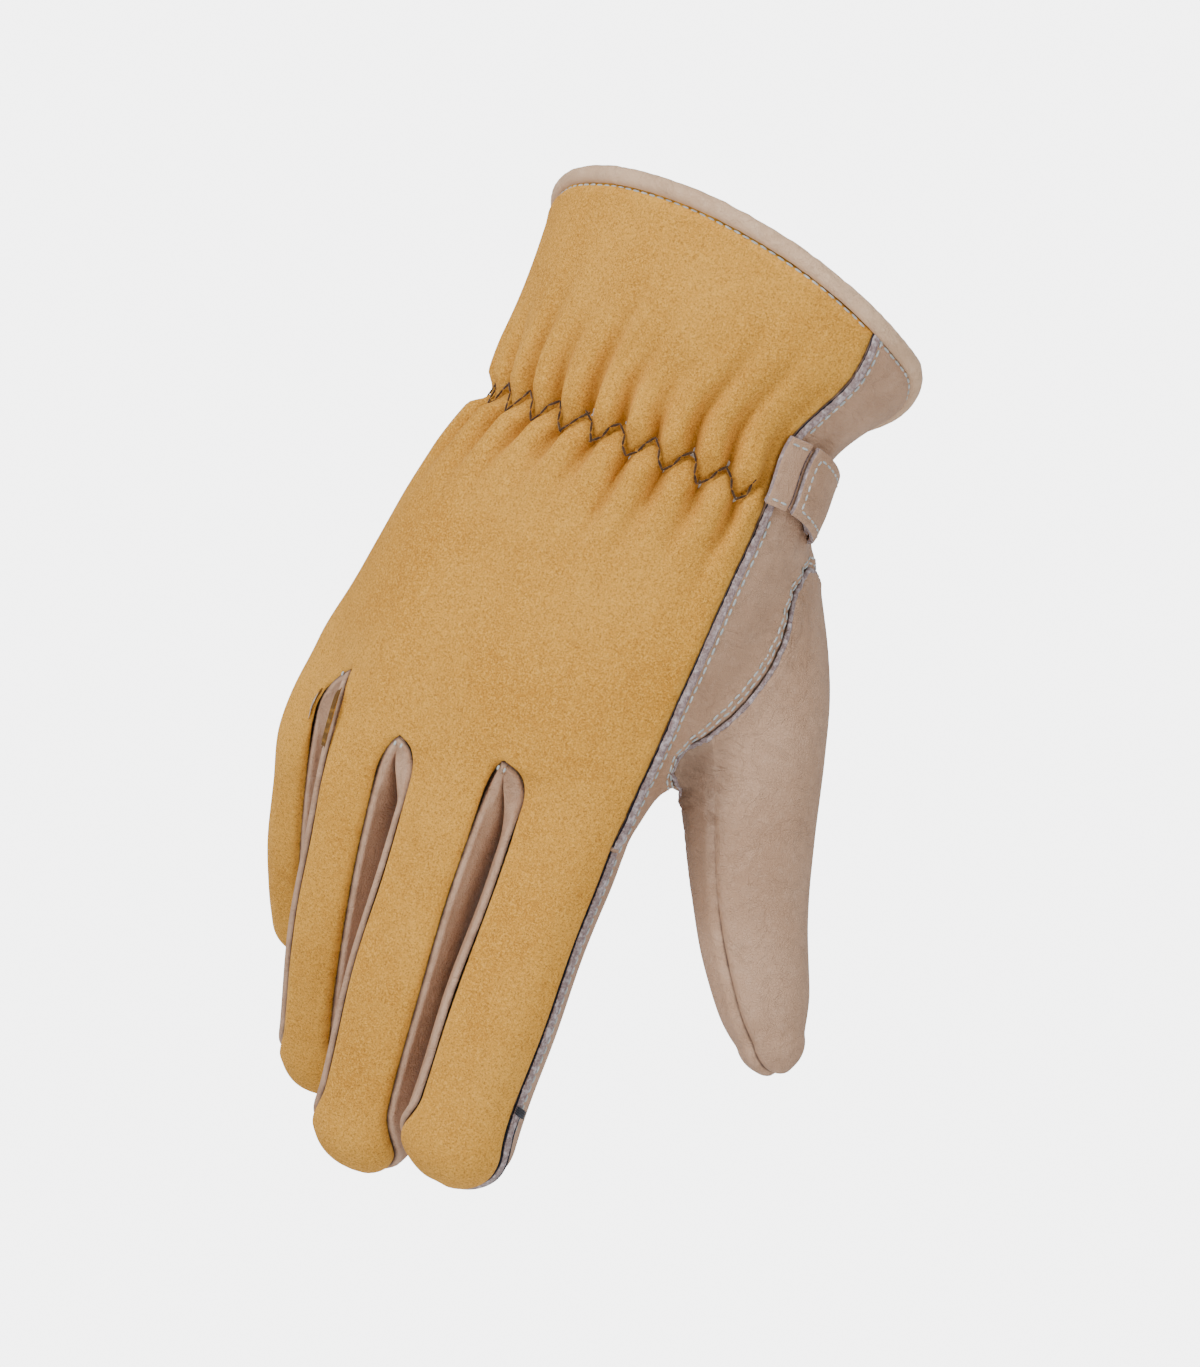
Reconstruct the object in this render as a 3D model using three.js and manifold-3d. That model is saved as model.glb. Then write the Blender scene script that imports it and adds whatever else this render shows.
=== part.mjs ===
// A right-hand leather glove as worn, fingers hanging down, built from its cut leather pieces.
// Millimetres. +Z points up the forearm, -Y is the back of the hand, +X is the thumb side.
// The origin is the centre of the cuff opening.
import * as THREE from 'three';
import Module from 'manifold-3d';
import { mergeVertices } from 'three/addons/utils/BufferGeometryUtils.js';

const wasm = await Module();
wasm.setup();

// ---- driving dimensions ----
const LEATHER = 1.2;            // leather thickness
const GAP = 0.35;               // air left between neighbouring pieces
const CUT_Z = -136;             // level of the crease at the base of the fingers
const OPEN_BACK = 5.5;          // clearance on the back of each finger crease, for straightening the finger
const SEAM_HALF = 58;           // half the width of a finger's back leather, degrees round the finger
const BINDING_R = 2.2;          // radius of the rolled binding on the cuff
const THREAD_R = 0.4;           // radius of the sewing thread
const STRAP_TOP = -27;          // upper edge of the wrist strap
const STRAP_BOTTOM = -44;       // lower edge of the wrist strap
const STRAP_FALL = 4.5;         // how much lower the strap runs on the palm side
const GATHER_Z = -42.5;         // level of the elastic and of the zigzag stitching
const GATHER_SPAN = [-38, -172]; // angles round the wrist between which the back is gathered
const ZIGZAG_HALF = 2.7;        // half the height of the zigzag

// Sections of the hand from the cuff to the base of the fingers: level, centre x, centre y,
// half width, half thickness, and exponent (2 is an ellipse, more is squarer).
const HAND = [
  { z: 16, x: 0.5, y: 0, a: 53.0, b: 32.5, n: 2.0 },
  { z: -9, x: 0.9, y: 0, a: 52.0, b: 31.0, n: 2.0 },
  { z: -28, x: -6.3, y: 0, a: 44.7, b: 26.0, n: 2.0 },
  { z: -42, x: -6.3, y: 0, a: 44.3, b: 24.0, n: 2.0 },
  { z: -60, x: -10.6, y: 0, a: 47.6, b: 23.0, n: 2.1 },
  { z: -84, x: -15.2, y: -1, a: 50.3, b: 21.0, n: 2.2 },
  { z: -98, x: -18.5, y: -2, a: 50.8, b: 19.5, n: 2.3 },
  { z: -113, x: -22.0, y: -2.5, a: 51.5, b: 17.5, n: 2.4 },
  { z: -136, x: -24.6, y: -2.5, a: 51.2, b: 13.6, n: 2.8 },
];
const HEEL_DROP = 15.6;         // how far the little-finger edge of the hand curves towards the palm
const SEAM_ANGLES = [           // where the long side seam runs, degrees round the hand
  { z: 16, angle: -31 },
  { z: -42, angle: -28 },
  { z: -84, angle: -25 },
  { z: -113, angle: -12.5 },
  { z: -136, angle: -9 },
];

// Fingers: root centre, section half width and half thickness, length, curl at the root and at the
// tip (degrees from straight down towards the palm), and roll of the finger's back about its length.
const FINGERS = {
  index: { x: 12.6, y: 0, rx: 13.4, ry: 12.4, length: 88, curl: [2, 10], roll: 23 },
  middle: { x: -17, y: -3.5, rx: 12.3, ry: 12.2, length: 97, curl: [6, 24], roll: 0 },
  ring: { x: -43.2, y: -3, rx: 11.3, ry: 11.6, length: 92, curl: [18, 40], roll: -18 },
  little: { x: -66, y: 13.5, rx: 9.4, ry: 10.2, length: 66, curl: [28, 52], roll: -38 },
};
const SLITS = [                 // top of each opening between fingers on the back of the hand
  { name: 'index_middle', left: 'middle', right: 'index', top: -124 },
  { name: 'middle_ring', left: 'ring', right: 'middle', top: -128 },
  { name: 'ring_little', left: 'little', right: 'ring', top: -121 },
];

// Thumb: centre line and radii from inside the hand to the tip.
const THUMB = [
  { p: [12, 16, -44], r: 13 },
  { p: [26.5, 20, -64], r: 14.5 },
  { p: [36, 21, -82], r: 15.2 },
  { p: [41.5, 20, -98], r: 15.6 },
  { p: [48, 19.5, -118], r: 15 },
  { p: [56.4, 20.5, -138], r: 13.2 },
  { p: [66, 23, -159], r: 10.8 },
];
const TACK_HALF = 11;            // half the width of the bar tack, degrees round the index finger
const TACK_FROM_TIP = 19;       // how far the bar tack sits above the root of the fingertip's curve
const THUMB_START = 21;         // distance along the thumb where its leather leaves the hand
const THUMB_SEAM = 52;          // where the thumb's outer and inner leather meet, degrees round it
const THUMB_CUT = 0.64;         // share of the thumb's length where it hinges

const leatherBack = new THREE.MeshStandardMaterial({ color: 0xbd9050, roughness: 0.95, metalness: 0 });
const leatherPalm = new THREE.MeshStandardMaterial({ color: 0xb0937f, roughness: 0.6, metalness: 0 });
const threadPale = new THREE.MeshStandardMaterial({ color: 0xd3dad6, roughness: 0.5, metalness: 0 });
const threadBrown = new THREE.MeshStandardMaterial({ color: 0x7a5a3c, roughness: 0.7, metalness: 0 });
const threadDark = new THREE.MeshStandardMaterial({ color: 0x15182a, roughness: 0.6, metalness: 0 });
const webbing = new THREE.MeshStandardMaterial({ color: 0xd8d2c6, roughness: 0.9, metalness: 0 });
const fastener = new THREE.MeshStandardMaterial({ color: 0x6f6558, roughness: 0.95, metalness: 0 });

// ---- small helpers ----
const lerp = THREE.MathUtils.lerp;
const rad = THREE.MathUtils.degToRad;
const smooth = (t) => THREE.MathUtils.smoothstep(t, 0, 1);
const signedPower = (value, power) => Math.sign(value) * Math.abs(value) ** power;

// a smooth value at a level, from rows given in order of falling level
function valueAt(rows, key, level) {
  const found = rows.findIndex((row, i) => i > 0 && level >= row.z);
  const k = found < 0 ? rows.length - 1 : found;
  const [p, q] = [rows[k - 1], rows[k]];
  const span = q.z - p.z;
  const t = THREE.MathUtils.clamp((level - p.z) / span, 0, 1);
  const before = rows[k - 2] ?? p;
  const after = rows[k + 1] ?? q;
  const slopeIn = ((q[key] - before[key]) / (q.z - before.z)) * span;
  const slopeOut = ((after[key] - p[key]) / (after.z - p.z)) * span;
  const stretch = t * t * (3 - 2 * t);
  return lerp(p[key], q[key], stretch) + t * (1 - t) * ((1 - t) * slopeIn - t * slopeOut);
}

const seamAngle = (z) => valueAt(SEAM_ANGLES, 'angle', z);

// ---- the hand's outer surface ----
function handSection(z) {
  const level = THREE.MathUtils.clamp(z, HAND[HAND.length - 1].z, HAND[0].z);
  return Object.fromEntries(['x', 'y', 'a', 'b', 'n'].map((key) => [key, valueAt(HAND, key, level)]));
}

// angle 0 is the thumb side, -90 the back of the hand, 90 the palm, 180 the little-finger side
function handPoint(angle, z, proud = 0) {
  const s = handSection(z);
  const c = Math.cos(rad(angle));
  const v = Math.sin(rad(angle));
  const x = s.x + (s.a + proud) * signedPower(c, 2 / s.n);
  const drop = HEEL_DROP * smooth((z + 42) / (CUT_Z + 42)) * smooth((-38 - x) / 30);
  return new THREE.Vector3(x, s.y + drop + (s.b + proud) * signedPower(v, 2 / s.n), z);
}

// the cuff's edge is higher on the back of the hand than on the palm
const rimZ = (angle) => -16 * Math.sin(rad(angle)) - 4 * Math.cos(rad(angle));

// ---- a finger's outer surface ----
// psi 0 is the finger's back, positive towards the thumb side; s is the length from the root
function fingerCentre(f, s) {
  const steps = 12;
  const p = new THREE.Vector3(f.x, f.y, CUT_Z);
  for (let i = 0; i < steps; i++) {
    const along = (s * (i + 0.5)) / steps;
    const curl = rad(lerp(f.curl[0], f.curl[1], along / f.length));
    p.y += (Math.sin(curl) * s) / steps;
    p.z -= (Math.cos(curl) * s) / steps;
  }
  return p;
}

const FINGER_POWER = 2 / 2.5;   // sections a little squarer than an ellipse

function fingerPoint(f, psi, s, proud = 0) {
  const tip = f.length - f.ry;
  const over = Math.max(0, (s - tip) / f.ry);
  const shrink = Math.sqrt(Math.max(0.004, 1 - over * over));
  const curl = rad(lerp(f.curl[0], f.curl[1], s / f.length));
  const turn = rad(psi + f.roll);
  const across = (f.rx + proud) * shrink * signedPower(Math.sin(turn), FINGER_POWER);
  const deep = -(f.ry + proud) * shrink * signedPower(Math.cos(turn), FINGER_POWER);
  const centre = fingerCentre(f, s);
  return centre.add(new THREE.Vector3(across, deep * Math.cos(curl), deep * Math.sin(curl)));
}

// ---- the thumb's outer surface ----
const thumbCurve = new THREE.CatmullRomCurve3(THUMB.map((row) => new THREE.Vector3(...row.p)));
const thumbLength = thumbCurve.getLength();
const thumbTip = THUMB[THUMB.length - 1].r;

function thumbFrame(s) {
  const t = THREE.MathUtils.clamp(s / thumbLength, 0, 1);
  const along = thumbCurve.getTangentAt(t);
  const inner = new THREE.Vector3(0, 1, 0).cross(along).normalize();
  const centre = thumbCurve.getPointAt(t).addScaledVector(along, Math.max(0, s - thumbLength));
  const k = Math.min(THUMB.length - 2, Math.floor(thumbCurve.getUtoTmapping(t) * (THUMB.length - 1)));
  const local = thumbCurve.getUtoTmapping(t) * (THUMB.length - 1) - k;
  const r = lerp(THUMB[k].r, THUMB[k + 1].r, local);
  return { centre, along, inner, palmward: along.clone().cross(inner), r };
}

// angle 0 faces the index finger, 90 the palm side, -90 the back
function thumbPoint(angle, s, proud = 0) {
  const f = thumbFrame(s);
  const over = THREE.MathUtils.clamp((s - thumbLength) / thumbTip, 0, 0.998);
  const r = (f.r + proud) * Math.sqrt(1 - over * over);
  return f.centre
    .addScaledVector(f.inner, r * Math.cos(rad(angle)))
    .addScaledVector(f.palmward, r * Math.sin(rad(angle)));
}

// ---- solids ----
function solidMesh(name, geometry, material) {
  const mesh = new THREE.Mesh(geometry, material);
  mesh.name = name;
  return mesh;
}

function closedGeometry(points, faces) {
  const g = new THREE.BufferGeometry();
  g.setAttribute('position', new THREE.Float32BufferAttribute(points.flatMap((p) => [p.x, p.y, p.z]), 3));
  g.setIndex(faces);
  return g;
}

// A curved sheet: surface(s, t) is its outer face for s and t from 0 to 1, and it has the given thickness.
function sheetGeometry(surface, across, along, thickness = LEATHER) {
  const outer = [];
  const inner = [];
  const step = 1e-3;
  for (let j = 0; j <= along; j++) {
    for (let i = 0; i <= across; i++) {
      const s = i / across;
      const t = j / along;
      const ds = surface(Math.min(1, s + step), t).sub(surface(Math.max(0, s - step), t));
      const dt = surface(s, Math.min(1, t + step)).sub(surface(s, Math.max(0, t - step)));
      const p = surface(s, t);
      outer.push(p);
      inner.push(p.clone().addScaledVector(ds.cross(dt).normalize(), -thickness));
    }
  }
  const row = across + 1;
  const count = outer.length;
  const faces = [];
  const quad = (a, b, c, d) => faces.push(a, b, c, a, c, d);
  for (let j = 0; j < along; j++) {
    for (let i = 0; i < across; i++) {
      const a = j * row + i;
      quad(a, a + 1, a + row + 1, a + row);
      quad(count + a, count + a + row, count + a + row + 1, count + a + 1);
    }
  }
  for (let i = 0; i < across; i++) {
    const last = along * row + i;
    quad(i + 1, i, count + i, count + i + 1);
    quad(last, last + 1, count + last + 1, count + last);
  }
  for (let j = 0; j < along; j++) {
    const left = j * row;
    const right = left + across;
    quad(left, left + row, count + left + row, count + left);
    quad(right + row, right, count + right, count + right + row);
  }
  return closedGeometry([...outer, ...inner], faces);
}

// A rod of round section along a list of points, closed into a ring or with flat ends.
function rodGeometry(path, radius, sides, ring = false) {
  const points = [];
  const faces = [];
  const n = path.length;
  for (let j = 0; j < n; j++) {
    const ahead = path[ring ? (j + 1) % n : Math.min(n - 1, j + 1)];
    const behind = path[ring ? (j + n - 1) % n : Math.max(0, j - 1)];
    const along = ahead.clone().sub(behind).normalize();
    const side = along.clone().cross(new THREE.Vector3(0.11, 0.2, 1)).normalize();
    const up = along.clone().cross(side);
    for (let i = 0; i < sides; i++) {
      const angle = (2 * Math.PI * (i + 0.5)) / sides;
      points.push(path[j].clone()
        .addScaledVector(side, radius * Math.cos(angle))
        .addScaledVector(up, radius * Math.sin(angle)));
    }
  }
  for (let j = 0; j < (ring ? n : n - 1); j++) {
    for (let i = 0; i < sides; i++) {
      const a = j * sides + i;
      const b = j * sides + ((i + 1) % sides);
      const c = ((j + 1) % n) * sides + i;
      const d = ((j + 1) % n) * sides + ((i + 1) % sides);
      faces.push(a, b, d, a, d, c);
    }
  }
  if (!ring) {
    for (let i = 1; i < sides - 1; i++) {
      faces.push(0, i + 1, i);
      faces.push((n - 1) * sides, (n - 1) * sides + i, (n - 1) * sides + i + 1);
    }
  }
  return closedGeometry(points, faces);
}

function toManifold(geometry) {
  const bare = geometry.clone();
  ['normal', 'uv'].forEach((key) => bare.deleteAttribute(key));
  const merged = mergeVertices(bare, 1e-3);
  const made = new wasm.Manifold(new wasm.Mesh({
    numProp: 3,
    vertProperties: merged.attributes.position.array,
    triVerts: new Uint32Array(merged.index.array),
  }));
  return made.volume() > 0 ? made : flipped(merged);
}

function flipped(geometry) {
  const index = new Uint32Array(geometry.index.array);
  for (let i = 0; i < index.length; i += 3) {
    [index[i + 1], index[i + 2]] = [index[i + 2], index[i + 1]];
  }
  const vertProperties = geometry.attributes.position.array;
  return new wasm.Manifold(new wasm.Mesh({ numProp: 3, vertProperties, triVerts: index }));
}

function toGeometry(manifold) {
  const mesh = manifold.getMesh();
  const g = new THREE.BufferGeometry();
  g.setAttribute('position', new THREE.BufferAttribute(new Float32Array(mesh.vertProperties), 3));
  g.setIndex(new THREE.BufferAttribute(new Uint32Array(mesh.triVerts), 1));
  return g;
}

const largestPiece = (manifold) => manifold.decompose().sort((p, q) => q.volume() - p.volume())[0];

// A solid filling a tube, whose surface is ring(angle, t), with end caps.
function plugManifold(ring, sides, along) {
  const points = [];
  const faces = [];
  for (let j = 0; j <= along; j++) {
    for (let i = 0; i < sides; i++) {
      points.push(ring((360 * i) / sides, j / along));
    }
  }
  for (let j = 0; j < along; j++) {
    for (let i = 0; i < sides; i++) {
      const a = j * sides + i;
      const b = j * sides + ((i + 1) % sides);
      faces.push(a, b, b + sides, a, b + sides, a + sides);
    }
  }
  for (let i = 1; i < sides - 1; i++) {
    const last = along * sides;
    faces.push(0, i + 1, i);
    faces.push(last, last + i, last + i + 1);
  }
  return toManifold(closedGeometry(points, faces));
}

// ---- the hand ----
const clearRim = BINDING_R + 1.5 * GAP;

function handSheet(fromAngle, toAngle, topZ, bottomZ, proud, across, along, thickness = LEATHER) {
  return sheetGeometry((s, t) => {
    const rough = lerp(topZ(0), bottomZ, t);
    const angle = lerp(fromAngle(rough), toAngle(rough), s);
    return handPoint(angle, lerp(topZ(angle), bottomZ, t), proud);
  }, across, along, thickness);
}

const underBinding = (angle) => rimZ(angle) - clearRim;
const seamGap = 0.6;            // degrees left open on each side of a seam of the hand

function slotManifold(centreX, halfWidth, top, depthFrom, depthTo) {
  const shape = new THREE.Shape();
  shape.moveTo(-halfWidth, CUT_Z - 8);
  shape.lineTo(halfWidth, CUT_Z - 8);
  shape.lineTo(halfWidth, top - halfWidth);
  shape.absarc(0, top - halfWidth, halfWidth, 0, Math.PI, false);
  const depth = depthTo - depthFrom;
  const g = new THREE.ExtrudeGeometry(shape, { depth, bevelEnabled: false, curveSegments: 8 });
  g.rotateX(Math.PI / 2);
  g.translate(centreX, depthTo, 0);
  return toManifold(g);
}

const slitX = (slit) => {
  const left = FINGERS[slit.left];
  const right = FINGERS[slit.right];
  return (left.x + left.rx + right.x - right.rx) / 2;
};

function buildBackPanel() {
  const sheet = handSheet(
    (z) => seamAngle(z) - seamGap, () => -180 + seamGap, underBinding, CUT_Z, 0, 34, 26);
  const cut = SLITS.reduce((solid, slit) => solid.subtract(
    slotManifold(slitX(slit), 4.4, slit.top, -60, 0)), toManifold(sheet));
  return largestPiece(cut);
}

const thumbPlug = plugManifold((angle, t) => thumbPoint(angle, lerp(0.02, 1, t) * thumbLength, GAP), 28, 14);
const handPlug = plugManifold((angle, t) => handPoint(-angle, lerp(10, CUT_Z, t), GAP), 56, 20);

function buildPalmPanel() {
  const sheet = handSheet(
    () => 180 - seamGap, (z) => seamAngle(z) + seamGap, underBinding, CUT_Z, 0, 36, 26);
  return largestPiece(toManifold(sheet).subtract(thumbPlug));
}

// the folded strip of the fourchette at the crotch between two fingers
function crotchSheet(slit) {
  const left = FINGERS[slit.left];
  const right = FINGERS[slit.right];
  const half = Math.max(1.4, (right.x - right.rx - left.x - left.rx) / 2);
  const middle = slitX(slit);
  const depth = (left.y + right.y) / 2;
  return sheetGeometry((s, t) => {
    const y = lerp(depth - 8.5, depth + 8.5, s);
    const apex = lerp(slit.top - 5, CUT_Z + 4.5, s);
    const angle = Math.PI * t;
    const legs = Math.abs(Math.cos(angle)) ** 6;
    const z = lerp(apex - 3.2 + 3.2 * Math.sin(angle), CUT_Z + 0.4, legs);
    return new THREE.Vector3(middle - (half + 1.1) * Math.cos(angle), y, z);
  }, 5, 12, 0.9);
}

// ---- the fingers ----
function fingerStart(f, psi) {
  const backness = signedPower(Math.cos(rad(psi + f.roll)), FINGER_POWER);
  const rise = f.ry * backness * Math.tan(rad(f.curl[0]));
  return 1.5 * GAP + (OPEN_BACK * (1 + backness)) / 2 - rise;
}

function fingerSheet(f, fromPsi, toPsi, tipFrom, tipTo, end, across) {
  const away = (GAP * 108) / (Math.PI * f.rx);
  return sheetGeometry((s, t) => {
    const widen = smooth((t - 0.8) / 0.2);
    const psi = lerp(lerp(toPsi, tipTo, widen) - away, lerp(fromPsi, tipFrom, widen) + away, s);
    return fingerPoint(f, psi, lerp(fingerStart(f, psi), end, t));
  }, across, 11);
}

function buildFinger(name, hasThumbSide, hasLittleSide) {
  const f = FINGERS[name];
  const end = f.length - 0.15;
  const short = f.length - f.ry * 1.1;
  const palmFrom = hasThumbSide ? 180 - SEAM_HALF : SEAM_HALF;
  const palmTo = hasLittleSide ? 180 + SEAM_HALF : 360 - SEAM_HALF;
  const made = [
    solidMesh(`back_${name}`, fingerSheet(f, -SEAM_HALF, SEAM_HALF, -82, 82, end, 12), leatherBack),
    solidMesh(`palm_${name}`, fingerSheet(f, palmFrom, palmTo, 98, 262, end, 14), leatherPalm),
  ];
  if (hasThumbSide) {
    const sheet = fingerSheet(f, SEAM_HALF, 180 - SEAM_HALF, 84, 96, short, 6);
    made.push(solidMesh(`fourchette_${name}_thumb_side`, sheet, leatherPalm));
  }
  if (hasLittleSide) {
    const sheet = fingerSheet(f, 180 + SEAM_HALF, 360 - SEAM_HALF, 264, 276, short, 6);
    made.push(solidMesh(`fourchette_${name}_little_side`, sheet, leatherPalm));
  }
  return made;
}

// ---- the thumb ----
function thumbSheet(fromAngle, toAngle, fromS, toS, across, along) {
  return sheetGeometry((s, t) => {
    const angle = lerp(fromAngle, toAngle, s);
    return thumbPoint(angle, lerp(fromS(angle), toS, t));
  }, across, along);
}

const thumbHinge = thumbFrame(THUMB_CUT * thumbLength);

function buildThumb() {
  const cut = THUMB_CUT * thumbLength;
  const end = thumbLength + thumbTip * 0.985;
  const away = 1.2;
  const openOuter = (angle) => cut + GAP + (OPEN_BACK * (1 - Math.cos(rad(angle)))) / 2;
  const baseSheet = (from, to, across) => {
    const sheet = thumbSheet(from + away, to - away, () => THUMB_START, cut - GAP, across, 8);
    return largestPiece(toManifold(sheet).subtract(handPlug));
  };
  return {
    base: [
      solidMesh('thumb_base_outer', toGeometry(baseSheet(THUMB_SEAM, 392, 22)), leatherPalm),
      solidMesh('thumb_base_inner', toGeometry(baseSheet(32, THUMB_SEAM, 3)), leatherPalm),
    ],
    moving: [
      solidMesh('thumb_outer', thumbSheet(THUMB_SEAM + away, 312 - away, openOuter, end, 16, 9), leatherPalm),
      solidMesh('thumb_inner', thumbSheet(-48 + away, THUMB_SEAM - away, openOuter, end, 7, 9), leatherPalm),
    ],
  };
}

// ---- trim ----
function buildBinding() {
  const path = [];
  for (let i = 0; i < 56; i++) {
    const angle = (360 * i) / 56;
    const p = handPoint(angle, rimZ(angle));
    const middle = handPoint(angle, rimZ(angle), -LEATHER / 2);
    path.push(new THREE.Vector3(middle.x, middle.y, p.z));
  }
  return solidMesh('cuff_binding', rodGeometry(path, BINDING_R, 8, true), leatherPalm);
}

function threadAlong(name, steps, pointAt, material) {
  const path = Array.from({ length: steps + 1 }, (_, i) => pointAt(i / steps));
  return solidMesh(name, rodGeometry(path, THREAD_R, 4), material);
}

const THREAD_PROUD = THREAD_R + GAP + 0.15;
const FINGER_THREAD_PROUD = THREAD_PROUD + 0.3;

function buildThreads() {
  const zigzags = 9;
  const steps = 2 * zigzags;
  const zigzagAngle = (t) => lerp(GATHER_SPAN[0], GATHER_SPAN[1], t);
  return [
    threadAlong('gather_thread', steps, (t) => {
      const up = Math.round(t * steps) % 2 ? 1 : -1;
      return handPoint(zigzagAngle(t), GATHER_Z + up * ZIGZAG_HALF, THREAD_PROUD + 0.5);
    }, threadBrown),
    threadAlong('binding_thread_back', 36, (t) => {
      const angle = lerp(-35, -178, t);
      return handPoint(angle, rimZ(angle) - clearRim - 0.6, THREAD_PROUD);
    }, threadPale),
    threadAlong('binding_thread_palm', 44, (t) => {
      const angle = lerp(-25, 178, t);
      return handPoint(angle, rimZ(angle) - clearRim - 0.6, THREAD_PROUD);
    }, threadPale),
    threadAlong('side_seam_thread_cuff', 8, (t) => {
      const z = lerp(-1, STRAP_TOP + 2, t);
      return handPoint(seamAngle(z) + 5, z, THREAD_PROUD);
    }, threadPale),
    threadAlong('side_seam_thread_hand', 24, (t) => {
      const z = lerp(STRAP_BOTTOM - 2, CUT_Z + 1, t);
      return handPoint(seamAngle(z) + 5, z, THREAD_PROUD);
    }, threadPale),
  ];
}

function indexThread() {
  const f = FINGERS.index;
  return threadAlong('side_seam_thread_index', 20, (t) => {
    const s = lerp(5, f.length - 9, t);
    return fingerPoint(f, SEAM_HALF + 9, s, FINGER_THREAD_PROUD);
  }, threadPale);
}

function indexBarTack() {
  const f = FINGERS.index;
  return threadAlong('index_bar_tack', 4, (t) => {
    const angle = SEAM_HALF + lerp(-TACK_HALF, TACK_HALF, t);
    return fingerPoint(f, angle, f.length - TACK_FROM_TIP, FINGER_THREAD_PROUD + 0.8);
  }, threadDark);
}

// ---- wrist elastic and strap ----
function buildElastic() {
  const inside = -(LEATHER + 2 * GAP);
  const sheet = sheetGeometry((s, t) => {
    const angle = lerp(GATHER_SPAN[0], GATHER_SPAN[1], s);
    return handPoint(angle, lerp(GATHER_Z + 5, GATHER_Z - 5, t), inside);
  }, 20, 1, 0.8);
  return solidMesh('wrist_elastic', sheet, webbing);
}

function strapSheet(fromAngle, toAngle, top, bottom, proud, thickness, across) {
  return sheetGeometry((s, t) => {
    const angle = lerp(fromAngle, toAngle, s);
    const fall = STRAP_FALL * smooth((angle + 26) / 50);
    return handPoint(angle, lerp(top, bottom, t) - fall, proud + thickness);
  }, across, 3, thickness);
}

const STRAP_START = 14;         // angle round the wrist where the strap leaves its anchor
const STRAP_END = 104;          // angle where the strap's free end lies
const ANCHOR_END = -19.5;       // where the anchor meets the keeper
const KEEPER_END = -32;         // where the keeper ends on the back leather
const LOOP_SPAN = [128, 62];    // angles covered by the loop patch
const HOOK_END = 68;            // where the hook patch under the strap ends

function strapPart(name, from, to, narrower, proud, thickness, across, material) {
  const sheet = strapSheet(from, to, STRAP_TOP - narrower, STRAP_BOTTOM + narrower, proud, thickness, across);
  return solidMesh(name, sheet, material);
}

function buildStrap() {
  const anchorStart = STRAP_START - 2.2;
  const hookStart = STRAP_END - 3;
  const [loopStart, loopEnd] = LOOP_SPAN;
  return {
    fixed: [
      strapPart('strap_keeper', ANCHOR_END - 2, KEEPER_END, 0, 0.6, 2.2, 4, leatherPalm),
      strapPart('strap_anchor', anchorStart, ANCHOR_END, 0, 2.3, 1.5, 8, leatherPalm),
      strapPart('strap_anchor_backing', anchorStart, ANCHOR_END, 1, 0.45, 1.45, 8, leatherPalm),
      strapPart('loop_patch', loopStart, loopEnd, 2, 0.35, 0.7, 12, fastener),
    ],
    moving: [
      strapPart('strap', STRAP_END, STRAP_START, 0, 2.4, 1.4, 20, leatherPalm),
      strapPart('hook_patch', hookStart, HOOK_END, 2, 1.4, 0.65, 8, fastener),
    ],
  };
}

// ---- assembly ----
function assemble() {
  const glove = new THREE.Group();
  const strap = buildStrap();
  const thumb = buildThumb();
  glove.add(
    solidMesh('back_panel', toGeometry(buildBackPanel()), leatherBack),
    solidMesh('palm_panel', toGeometry(buildPalmPanel()), leatherPalm),
    ...SLITS.map((slit) => solidMesh(`fourchette_crotch_${slit.name}`, crotchSheet(slit), leatherPalm)),
    buildBinding(),
    buildElastic(),
    ...buildThreads(),
    ...strap.fixed,
    ...strap.moving,
    ...thumb.base,
    ...thumb.moving,
    ...buildFinger('index', false, true),
    indexThread(),
    indexBarTack(),
    ...buildFinger('middle', true, true),
    ...buildFinger('ring', true, true),
    ...buildFinger('little', true, false),
  );
  return glove;
}

export default assemble();
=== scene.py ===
import math

import bmesh
import bpy
import numpy as np
from mathutils import Matrix, Vector, kdtree, noise


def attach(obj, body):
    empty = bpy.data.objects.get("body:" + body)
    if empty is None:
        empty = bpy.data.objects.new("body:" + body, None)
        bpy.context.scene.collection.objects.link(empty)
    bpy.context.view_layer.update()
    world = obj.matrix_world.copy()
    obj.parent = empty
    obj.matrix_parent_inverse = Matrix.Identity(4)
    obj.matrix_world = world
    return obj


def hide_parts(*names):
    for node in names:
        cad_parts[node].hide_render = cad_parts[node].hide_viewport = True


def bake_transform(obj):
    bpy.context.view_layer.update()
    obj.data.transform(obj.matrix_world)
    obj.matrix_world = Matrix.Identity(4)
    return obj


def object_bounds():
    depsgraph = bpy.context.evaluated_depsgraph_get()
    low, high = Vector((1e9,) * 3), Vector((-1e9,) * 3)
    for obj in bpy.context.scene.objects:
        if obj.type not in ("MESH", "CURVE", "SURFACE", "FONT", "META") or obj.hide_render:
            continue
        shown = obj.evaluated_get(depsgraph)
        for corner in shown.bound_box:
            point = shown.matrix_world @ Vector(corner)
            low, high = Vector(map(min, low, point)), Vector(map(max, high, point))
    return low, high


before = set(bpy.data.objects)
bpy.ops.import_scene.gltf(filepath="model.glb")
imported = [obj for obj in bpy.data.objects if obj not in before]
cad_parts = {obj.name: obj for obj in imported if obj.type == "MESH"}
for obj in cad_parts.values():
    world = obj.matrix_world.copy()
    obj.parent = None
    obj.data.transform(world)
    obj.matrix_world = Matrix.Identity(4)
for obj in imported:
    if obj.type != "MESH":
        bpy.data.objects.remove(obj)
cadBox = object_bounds()
mm = 0.001
print("frame loaded")


# camera, floor and light
cameraLook = {
    "azimuth": 24.0,      # degrees round from the back of the hand towards the thumb
    "lean": 22.0,         # how far the glove leans in the frame, degrees
    "distance": 1500.0,   # mm
    "frameHeight": 328.0, # mm seen from top to bottom at the glove
    "aim": (0.0, 0.0, -98.0),
    "aimShift": (4.5, 0.0),
}


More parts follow.
